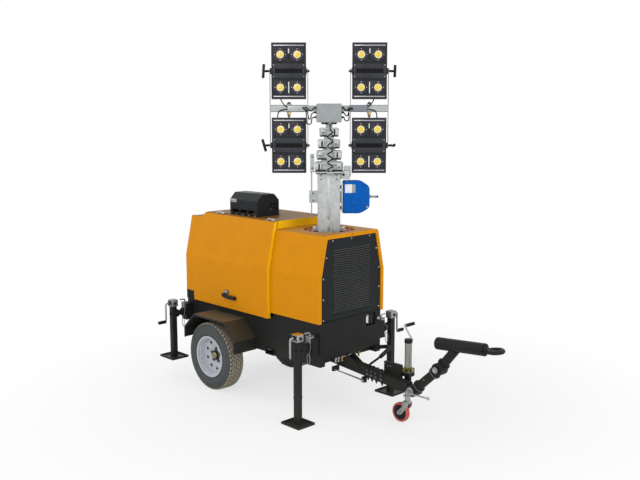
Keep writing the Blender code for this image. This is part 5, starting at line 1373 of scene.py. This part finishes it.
class TOWER_OT_housing(TowerOperator, bpy.types.Operator):
    """Build the housing's small parts: grille hoods and screws, dial, hinges, latches, guard bolts."""

    bl_idname = "tower.housing"
    bl_label = "Housing fittings"

    def execute(self, context):
        self.grille()
        self.dial()
        for name, side in SIDES:
            self.door(name, side)
        self.guard()
        return {"FINISHED"}

    def grille(self):
        piece = Piece("grille_fittings", "chassis")
        hoods = bmesh.new()
        for row in range(HOOD_COUNT):
            for side in BOTH:
                place = Matrix.Translation((GRILLE_X + 0.0025, side * 0.1135, HOOD_TOP_Z - HOOD_STEP * row))
                lean = Matrix.Rotation(side * HOOD_SAG, 4, "X") @ Matrix.Rotation(HOOD_LEAN, 4, "Y")
                size = Matrix.Diagonal((0.008, 0.223, 0.0022, 1.0))
                bmesh.ops.create_cube(hoods, size=1.0, matrix=place @ lean @ size)
        piece.take(hoods, "edge_black")
        for z in GRILLE_SCREW_ZS:
            for edge, level in ((-0.345, z), (0.362, z + 0.018)):
                y = edge - math.copysign(max(0.0, level - 1.234) * 0.217, edge)
                piece.screw((GRILLE_X, y, level), AHEAD, "steel", 0.0080, 0.0045)
        for y in (-0.232, 0.0, 0.232):
            piece.screw((GRILLE_X, y, 1.545), AHEAD, "steel", 0.0075, 0.0045)
        piece.screw((FRONT_X, 0.0, 1.583), AHEAD, "signal_red", 0.0065, 0.0035)
        near = GRILLE_X - 0.001
        piece.box((near, -0.372, 0.8500), (GRILLE_X + 0.0075, 0.372, 0.8525), "satin_black", 0.0006)
        piece.box((near, -0.236, 0.8900), (GRILLE_X + 0.0050, 0.236, 0.8930), "satin_black", 0.0006)
        piece.done()

    def dial(self):
        """The gauge and its knob in the recess of the front sill, and the drain fittings below."""
        piece = Piece("front_dial", "chassis")
        centre = Vector(DIAL)
        piece.box((RECESS_X - 0.001, 0.196, 0.728), (RECESS_X + 0.004, 0.314, 0.832), "satin_black", 0.001)
        piece.spin(DIAL_CASE, centre, AHEAD, "box", 40)
        piece.spin(DIAL_FACE, centre, AHEAD, "white_plate", 40)
        piece.rod(centre + Vector((0.0215, 0.0, 0.0)), centre + Vector((0.0225, 0.018, 0.020)), 0.0012,
                  "signal_red", 8)
        piece.box((RECESS_X + 0.018, 0.238, 0.735), (RECESS_X + 0.0265, 0.300, 0.828), "satin_black", 0.002)
        piece.spin(SILL_CAP, (SILL_X, 0.345, 0.775), AHEAD, "bright_zinc", 24)
        x = FRONT_X - 0.035
        for y, finish, drop in DRAINS:
            levels = [DRAIN_TOP_Z - fall for fall in (0.0, drop * 0.5, drop, drop + 0.006)]
            for start, end, radius, steps in zip(levels, levels[1:], (0.0125, 0.0085, 0.0115), (6, 18, 6)):
                piece.rod((x, y, start), (x, y, end), radius, finish, steps)
        piece.box((FRONT_X - 0.055, -0.300, 0.505), (FRONT_X - 0.020, 0.145, 0.528), "black", 0.002)
        piece.tube(DRAIN_HOSE, 0.006, "dull_zinc")
        piece.done()

    def door(self, name, side):
        """A door's two hinges, half of each on the roof, and its latch."""
        hinge = Piece("hinge_%s_fixed" % name, "chassis", TRAILER)
        moving = Piece("door_%s_fittings" % name, "door_" + name, TRAILER)
        y = side * HINGE_Y
        for x in HINGE_XS:
            hinge.box((x - 0.0305, y - side * 0.056, REAR_ROOF_Z),
                      (x + 0.0305, y - side * 0.002, LEAF_TOP_Z), "bright_zinc", 0.001)
            hinge.rod((x - 0.0302, y, HINGE_Z), (x + 0.0302, y, HINGE_Z), 0.0078, "bright_zinc", 18)
            for offset in (-0.017, 0.017):
                hinge.screw((x + offset, y - side * 0.034, LEAF_TOP_Z), UP, "steel", 0.0052)
            for end in BOTH:
                near, far = x + end * 0.0312, x + end * 0.0502
                moving.box((near, y + side * 0.002, REAR_ROOF_Z - 0.002),
                           (far, y + side * 0.029, LEAF_TOP_Z), "bright_zinc", 0.001)
                moving.rod((near, y, HINGE_Z), (far, y, HINGE_Z), 0.0078, "bright_zinc", 18)
                moving.screw(((near + far) / 2.0, y + side * 0.018, LEAF_TOP_Z), UP, "steel", 0.0045)
        self.latch(moving, side)
        hinge.done()
        moving.done()

    def latch(self, piece, side):
        """The black paddle with its raised thumb end, and the lock above it."""
        x, z = LATCH
        for outline, radii, steps, (near, far), finish, bevel in LATCH_PLATES:
            line = rounded([(x + across, z + up) for across, up in outline], radii, steps)
            piece.plate(line, "Y", (side * near, side * far), finish, bevel)
        piece.spin(LOCK, (x - 0.050, side * 0.434, z + 0.044), (0, side, 0), "bright_zinc", 28)
        piece.block((x - 0.050, side * 0.4458, z + 0.044), (0.0015, 0.0008, 0.006), "plastic", 0.0004)

    def guard(self):
        """Flange bolts, a blank plate and the folded edges of the exhaust guard."""
        piece = Piece("guard_fittings", "chassis", TRAILER)
        for y in (-0.272, 0.014):
            for index in range(5):
                piece.bolt((-0.030 + 0.090 * index, y, REAR_ROOF_Z + 0.0043), UP, "bronze", 0.012)
        oval = rounded([(-0.046, 1.782), (0.050, 1.782), (0.050, 1.814), (-0.046, 1.814)], 0.015)
        piece.plate(oval, "Y", (-0.2645, -0.2615), "bright_zinc", 0.0008)
        for x in GUARD_EDGE_XS:
            part = bmesh.new()
            rings = [[part.verts.new((x, *point)) for point in line] for line in (GUARD_OUTER, GUARD_INNER)]
            edges = [part.edges.new(pair) for ring in rings for pair in zip(ring, ring[1:] + ring[:1])]
            bmesh.ops.bridge_loops(part, edges=edges)
            extrude(part, part.faces, (0.0030, 0, 0))
            piece.take(part, "satin_black")
        piece.box((0.000, -0.200, 1.8715), (0.300, -0.058, 1.8738), "satin_black", 0.001)
        piece.done()


# Legs

# Square boxes round a leg: half width, lowest and highest places, finish and rounding
LEG_BOXES = ((0.0268, -0.424, 0.085, "black", 0.003), (0.0280, -0.424, -0.406, "black", 0.002),
             (0.0360, 0.081, 0.139, "bright_zinc", 0.005), (0.0375, 0.076, 0.084, "dull_zinc", 0.002))
# Heights of the crank's boss and grip over a leg's swing joint
LEG_BOSS_Z = 0.113
LEG_GRIP_Z = -0.068
LEG_BOSS = ((0.0, 0.014), (0.013, 0.014), (0.020, 0.010), (0.022, 0.0), (0.0, 0.0))
# The crank's arm, out from the leg and up
LEG_ARM = ((0.030, LEG_BOSS_Z), (0.070, LEG_BOSS_Z), (0.082, 0.110), (0.086, 0.098), (0.086, 0.070),
           (0.086, -0.046), (0.086, -0.062), (0.091, LEG_GRIP_Z), (0.104, LEG_GRIP_Z))
LEG_GRIP = [(0.0, 0.1755), (0.010, 0.1755), (0.0165, 0.171), *ribs(0.0168, 0.0012, 0.165, 0.0100, 7),
            (0.0165, 0.095), (0.0120, 0.0905), (0.0, 0.0905)]
# The pull pin's bracket, its bent pin and the wire of its clip, as (across, out, up)
PIN_LOW, PIN_HIGH = 0.036, 0.100
PIN_LINE = ((0, 0, PIN_LOW), (0, 0, 0.056), (0, 0, 0.113), (0, 0.005, 0.125), (0, 0.016, 0.128),
            (0, 0.058, 0.128))
PIN_WIRE = ((0.024, 0.020, PIN_LOW), (0.050, 0.034, 0.030), (0.052, 0.040, -0.010), (0.034, 0.046, -0.046))


class TOWER_OT_legs(TowerOperator, bpy.types.Operator):
    """Build the legs' small parts: head caps, grips, flange bolts, pull pins and clips."""

    bl_idname = "tower.legs"
    bl_label = "Leg fittings"

    def execute(self, context):
        for name, side in LEGS:
            at = joint_place("leg_%s_swing" % name)
            self.leg(name, side, at)
            self.pin(name, side, at)
        return {"FINISHED"}

    def leg(self, name, side, at):
        out = (0, side, 0)
        piece = Piece("leg_%s_case" % name, "leg_" + name, Matrix.Translation(at))
        cap = (0.0375, 0.137, 0.141, "orange" if name == "front_right" else "dull_zinc", 0.0015)
        for half, low, high, finish, bevel in (*LEG_BOXES, cap):
            piece.box((-half, -half, low), (half, half, high), finish, bevel)
        piece.spin(LEG_BOSS, (0.0, side * 0.035, LEG_BOSS_Z), out, "satin_black", 24)
        for x in BOTH:
            for level in (0.094, 0.126):
                piece.bolt((x * 0.024, side * 0.036, level), out, "satin_black", 0.009)
            piece.bolt((x * 0.036, 0.0, 0.108), (x, 0, 0), "satin_black", 0.018)
        piece.tube([(0.0, side * y, z) for y, z in LEG_ARM], 0.0086, "bright_zinc", True, 4)
        piece.spin(LEG_GRIP, (0.0, 0.0, LEG_GRIP_Z), out, "grip", 24)
        piece.rod((0, side * -0.050, 0), (0, side * -0.0262, 0), 0.040, "black", 36, None, 0.003)
        for x, z in around(4, 0.032, 0.5):
            piece.screw((x, side * -0.030, z), out, "dull_zinc", 0.0055)
        piece.bolt((0.0, side * 0.0265, 0.0), out, "satin_black", 0.024, 0.4)
        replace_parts(piece.done(), "leg_outer_" + name)

    def pin(self, name, side, at):
        """The zinc pull-pin bracket on the base's corner box, and the clip that hangs from it."""
        piece = Piece("pin_%s_bracket" % name, "chassis", Matrix.Translation((at.x, side * 0.455, at.z)))
        for x in BOTH:
            piece.box((x * 0.020, -0.026, PIN_LOW), (x * 0.0245, 0.026, PIN_HIGH), "bright_zinc", 0.001)
            piece.bolt((x * 0.0245, 0.0, 0.054), (x, 0, 0), "dull_zinc", 0.014)
        piece.box((-0.0245, -0.030, PIN_HIGH - 0.006), (0.0245, 0.030, PIN_HIGH), "bright_zinc", 0.001)
        piece.box((-0.0245, -0.022, PIN_LOW), (0.0245, -0.017, PIN_HIGH), "dull_zinc", 0.001)
        piece.tube([(x, side * y, z) for x, y, z in PIN_LINE], 0.0072, "bright_zinc", True, 4)
        piece.tube(list(coil(0.0125, 6, 0.042, 0.090)), 0.0020, "steel", True, 1)
        piece.rod((0, side * 0.024, 0.0), (0, side * 0.041, 0.0), 0.0405, "black", 32, None, 0.003)
        if name.startswith("rear"):
            piece.box((-0.048, side * -0.098, 0.030), (0.014, side * -0.071, 0.140), "black", 0.002)
        piece.tube([(x, side * y, z) for x, y, z in PIN_WIRE], 0.0020, "dull_zinc", True, 1)
        clip = [(0.030 + 0.017 * x, side * 0.046, -0.092 + 0.048 * z)
                for x, z, _ in coil(1.0, 1, 0.0, 0.0, 24)]
        piece.tube(clip, 0.0034, "dull_zinc", False, 1)
        piece.done()


# Drawbar and jack

# Places of the two disc joints and of the jack's tube, along the trailer and up or across
LOWER_JOINT = (2.034, 0.353)
UPPER_JOINT = (2.286, 0.589)
JACK_X, JACK_Y = 1.890, 0.085
JACK_CAP_Z = 0.7095
JACK_GRIP_PLACE = (1.805, 0.1455, 0.830)
CASTER_X, CASTER_Z = 1.820, 0.085
# The plate beside the clamps, and its bolts: places along the trailer, and heights over the bar's middle
CLAMP_PLATE_X = 1.70
CLAMP_PLATE_BOLTS = ((1.672, 0.108), (1.705, 0.095), (1.735, 0.100), (1.675, 0.055))
# Two rods beside the drawbar, each from its rear to its front end
SIDE_RODS = (((1.190, -0.080, 0.354), (1.520, -0.060, 0.320)),
             ((1.190, -0.104, 0.366), (1.510, -0.062, 0.331)))
CLAMP_XS = (1.545, 1.590, 1.640, 1.705)
DRAWBAR_SLOPE = 0.089
# What is stacked on the joints' right sides: start, end, radius, finish, steps, end radius, rounding
LOWER_STACK = ((0.060, 0.068, 0.034, "bright_zinc", 32, None, 0.001),
               (0.064, 0.088, 0.0250, "dull_zinc", 6, 0.023), (0.086, 0.104, 0.0135, "steel"))
UPPER_STACK = ((0.060, 0.065, 0.0265, "dull_zinc", 32, None, 0.001),
               (0.064, 0.074, 0.0180, "bright_zinc", 6, 0.017))
LEVER_BALL = ((0.0, 0.013), (0.007, 0.0115), (0.0115, 0.006), (0.013, 0.0), (0.0115, -0.006),
              (0.007, -0.0115), (0.0, -0.013))
COLLAR = ((0.0470, -0.0006), (0.0524, -0.0006), (0.0528, 0.0016), (0.0524, 0.0030), (0.0470, 0.0030),
          (0.0470, -0.0006))
# The brake hose: out of the clamps, up behind the leg and back under the base
HOSE = ((1.500, 0.000, 0.425), (1.515, 0.010, 0.452), (1.535, 0.060, 0.480), (1.545, 0.120, 0.505),
        (1.535, 0.200, 0.530), (1.500, 0.290, 0.542), (1.440, 0.350, 0.530), (1.340, 0.370, 0.505),
        (1.270, 0.360, 0.480))
JACK_CAP = ((0.0, 0.0), (0.033, 0.0), (0.0345, 0.003), (0.0345, 0.030), (0.0312, 0.032), (0.0, 0.032))
JACK_BAND = ((0.0302, 0.0), (0.0335, 0.0), (0.0335, 0.006), (0.0302, 0.007), (0.0302, 0.0))
JACK_CRANK = ((1.890, 0.110, 0.725), (1.890, 0.128, 0.726), (1.888, 0.1350, 0.730), (1.878, 0.1355, 0.742),
              (1.818, 0.1355, 0.815), (1.806, 0.1360, 0.829), (1.805, 0.1440, 0.830), (1.805, 0.1540, 0.830))
JACK_GRIP = [(0.0, 0.1115), (0.010, 0.1115), (0.0150, 0.108), *ribs(0.0152, 0.0009, 0.101, 0.0105, 9),
             (0.0150, 0.006), (0.0110, 0.0015), (0.0, 0.0015)]
CASTER_STEM = ((0.0, 0.2424), (0.0235, 0.2424), (0.0235, 0.206), (0.030, 0.200), (0.037, 0.196),
               (0.0375, 0.189), (0.0, 0.189))
CASTER_ARM = ((1.856, 0.186), (1.920, 0.186), (1.912, 0.150), (1.846, 0.074), (1.826, 0.066),
              (1.808, 0.072), (1.804, 0.090), (1.814, 0.104), (1.858, 0.150))
CASTER_ARM_RADII = (0.004, 0.008, 0.020, 0.010, 0.010, 0.010, 0.010, 0.010, 0.020)
CASTER_HUB = ((0.010, 0.0202), (0.028, 0.0202), (0.034, 0.0150), (0.056, 0.0128), (0.062, 0.0160),
              (0.0640, 0.0160), (0.0640, 0.0100), (0.010, 0.0100), (0.010, 0.0202))


def bar_z(x):
    """Height of the drawbar's middle at a place along the trailer."""
    return LOWER_JOINT[1] + (LOWER_JOINT[0] - x) * DRAWBAR_SLOPE


class TOWER_OT_towing(TowerOperator, bpy.types.Operator):
    """Build the towing gear's small parts: clamps, hose, lever bolts, collars and the jack's fittings."""

    bl_idname = "tower.towing"
    bl_label = "Towing gear fittings"

    def execute(self, context):
        self.drawbar()
        self.joint("lower", "chassis", LOWER_JOINT, LOWER_STACK)
        self.joint("upper", "tow_head", UPPER_JOINT, UPPER_STACK)
        self.link()
        self.jack()
        self.caster()
        return {"FINISHED"}

    def drawbar(self):
        """Clamps with their bolts, the brake's hose, rods and plates, and the blocks under the base."""
        piece = Piece("drawbar_fittings", "chassis", TRAILER)
        for x in CLAMP_XS:
            z = bar_z(x)
            piece.block((x, 0.0, z), (0.008, 0.0455, 0.0455), "satin_black", 0.003)
            piece.bolt((x, -0.0455, z - 0.010), RIGHT, "engine", 0.017)
            piece.bolt((x, -0.0455, z + 0.026), RIGHT, "edge_black", 0.013)
            for y in (-0.033, 0.033):
                piece.rod((x, y, z - 0.044), (x, y, z - 0.066), 0.0055, "satin_black", 10)
                piece.rod((x, y, z - 0.046), (x, y, z - 0.056), 0.0105, "edge_black", 6)
        plate_z = bar_z(CLAMP_PLATE_X)
        piece.box((1.655, 0.044, plate_z + 0.020), (1.800, 0.066, plate_z + 0.128), "satin_black", 0.003)
        for x, level in CLAMP_PLATE_BOLTS:
            piece.bolt((x, 0.044, plate_z + level), RIGHT, "steel", 0.010)
        piece.tube(HOSE, 0.0100, "cable", True, 4)
        line = curved(HOSE[3:], 8)
        for index, (first, second) in enumerate(zip(line, line[1:])):
            piece.rod(first, second, 0.0185 if index % 2 else 0.0160, "rubber", 14)
        for start, end in SIDE_RODS:
            piece.rod(start, end, 0.0045, "dull_zinc", 10)
        piece.box((1.498, -0.070, 0.308), (1.532, -0.034, 0.358), "satin_black", 0.003)
        piece.box((1.175, -0.112, 0.344), (1.198, -0.034, 0.388), "satin_black", 0.003)
        piece.bolt((1.515, -0.070, 0.322), RIGHT, "steel", 0.018)
        for side in BOTH:
            piece.box((0.488, side * 0.330, 0.480), (0.658, side * 0.380, 0.531), "engine", 0.003)
            for x in (0.510, 0.634):
                piece.bolt((x, side * 0.380, 0.505), (0, side, 0), "satin_black", 0.014)
        piece.done()

    def joint(self, name, body, place, stack):
        """Washers and nut of a disc joint. The lower one has a lever bar with a ball too."""
        x, z = place
        piece = Piece(name + "_joint_fittings", body, TRAILER)
        for start, end, radius, finish, *shape in stack:
            piece.rod((x, -start, z), (x, -end, z), radius, finish, *shape)
        if name == "lower":
            piece.rod((2.010, -0.096, 0.349), (2.276, -0.136, 0.372), 0.0070, "steel", 14)
            piece.spin(LEVER_BALL, (2.284, -0.137, 0.3725), UP, "steel", 20)
        piece.done()

    def link(self):
        """Pale collar edges at both ends of the link arm, and a plug in its middle."""
        piece = Piece("link_fittings", "link_arm", TRAILER)
        start, end = [Vector((x, 0.0, z)) for x, z in (LOWER_JOINT, UPPER_JOINT)]
        along = (end - start).normalized()
        for point, way in ((start, along), (end, -along)):
            piece.spin(COLLAR, point + way * 0.060, way, "dull_zinc", 40)
        middle = (start + end) / 2.0 + Vector((-along.z, 0.0, along.x)) * 0.004
        piece.screw(middle + Vector((0, -0.0372, 0)), RIGHT, "dull_zinc", 0.006)
        piece.done()

    def jack(self):
        """Cap, collar, clamp bolts, crank and grip of the jack."""
        piece = Piece("jack_fittings", "chassis", TRAILER)
        low = bar_z(JACK_X) + 0.058
        piece.spin(JACK_CAP, (JACK_X, JACK_Y, JACK_CAP_Z), UP, "plastic", 36)
        piece.spin(JACK_BAND, (JACK_X, JACK_Y, low + 0.074), UP, "bronze", 36)
        piece.box((1.916, 0.072, JACK_CLAMP_Z + 0.004), (1.940, 0.098, JACK_CLAMP_Z + 0.034),
                  "bronze", 0.002)
        piece.bolt((1.930, 0.072, JACK_CLAMP_Z + 0.019), RIGHT, "satin_black", 0.014)
        for level in (0.014, 0.052):
            for side in BOTH:
                piece.bolt((1.902, JACK_Y + side * 0.038, low + level), (0, side, 0), "satin_black", 0.014)
        piece.tube(JACK_CRANK, 0.0076, "bright_zinc", True, 4)
        piece.spin(JACK_GRIP, JACK_GRIP_PLACE, LEFT, "grip", 24)
        piece.done()

    def caster(self):
        """The jack's zinc fork with its stem, and the hub of its wheel."""
        fork = Piece("caster_fork_case", "caster_fork", TRAILER)
        fork.spin(CASTER_STEM, (JACK_X, JACK_Y, 0.0), UP, "bright_zinc", 32)
        top = rounded([(1.852, 0.050), (1.920, 0.050), (1.920, 0.120), (1.852, 0.120)], 0.012, 4)
        fork.plate(top, "Z", (0.1815, 0.1895), "bright_zinc", 0.001)
        wheel = Piece("caster_hub", "caster_wheel", TRAILER)
        for side in BOTH:
            near, far = JACK_Y + side * 0.0265, JACK_Y + side * 0.0310
            fork.plate(rounded(CASTER_ARM, CASTER_ARM_RADII, 5), "Y", (near, far), "bright_zinc", 0.001)
            fork.bolt((CASTER_X, far, CASTER_Z), (0, side, 0), "steel", 0.022)
            wheel.spin(CASTER_HUB, (CASTER_X, JACK_Y, CASTER_Z), (0, side, 0), "plastic", 32)
        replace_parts(fork.done(), "caster_fork")
        wheel.done()


# Panel and registration

OPERATORS = (TOWER_OT_stage, TOWER_OT_nodes, TOWER_OT_lamps, TOWER_OT_wheels, TOWER_OT_mast, TOWER_OT_cord,
             TOWER_OT_winch, TOWER_OT_head, TOWER_OT_housing, TOWER_OT_legs, TOWER_OT_towing)


class TOWER_PT_panel(bpy.types.Panel):
    """Lists the steps that build the light tower's looks."""

    bl_idname = "TOWER_PT_panel"
    bl_label = "Light Tower"
    bl_space_type = "VIEW_3D"
    bl_region_type = "UI"
    bl_category = "Light Tower"

    def draw(self, context):
        for operator in OPERATORS:
            self.layout.operator(operator.bl_idname)


CLASSES = (TowerColours, TowerSizes, *OPERATORS, TOWER_PT_panel)


def register():
    for cls in CLASSES:
        bpy.utils.register_class(cls)
    bpy.types.Scene.tower_colours = bpy.props.PointerProperty(type=TowerColours)
    bpy.types.Scene.tower_sizes = bpy.props.PointerProperty(type=TowerSizes)


def unregister():
    del bpy.types.Scene.tower_sizes
    del bpy.types.Scene.tower_colours
    for cls in reversed(CLASSES):
        bpy.utils.unregister_class(cls)


def main():
    register()
    for operator in OPERATORS:
        group, name = operator.bl_idname.split(".")
        getattr(getattr(bpy.ops, group), name)()


if __name__ == "__main__":
    main()
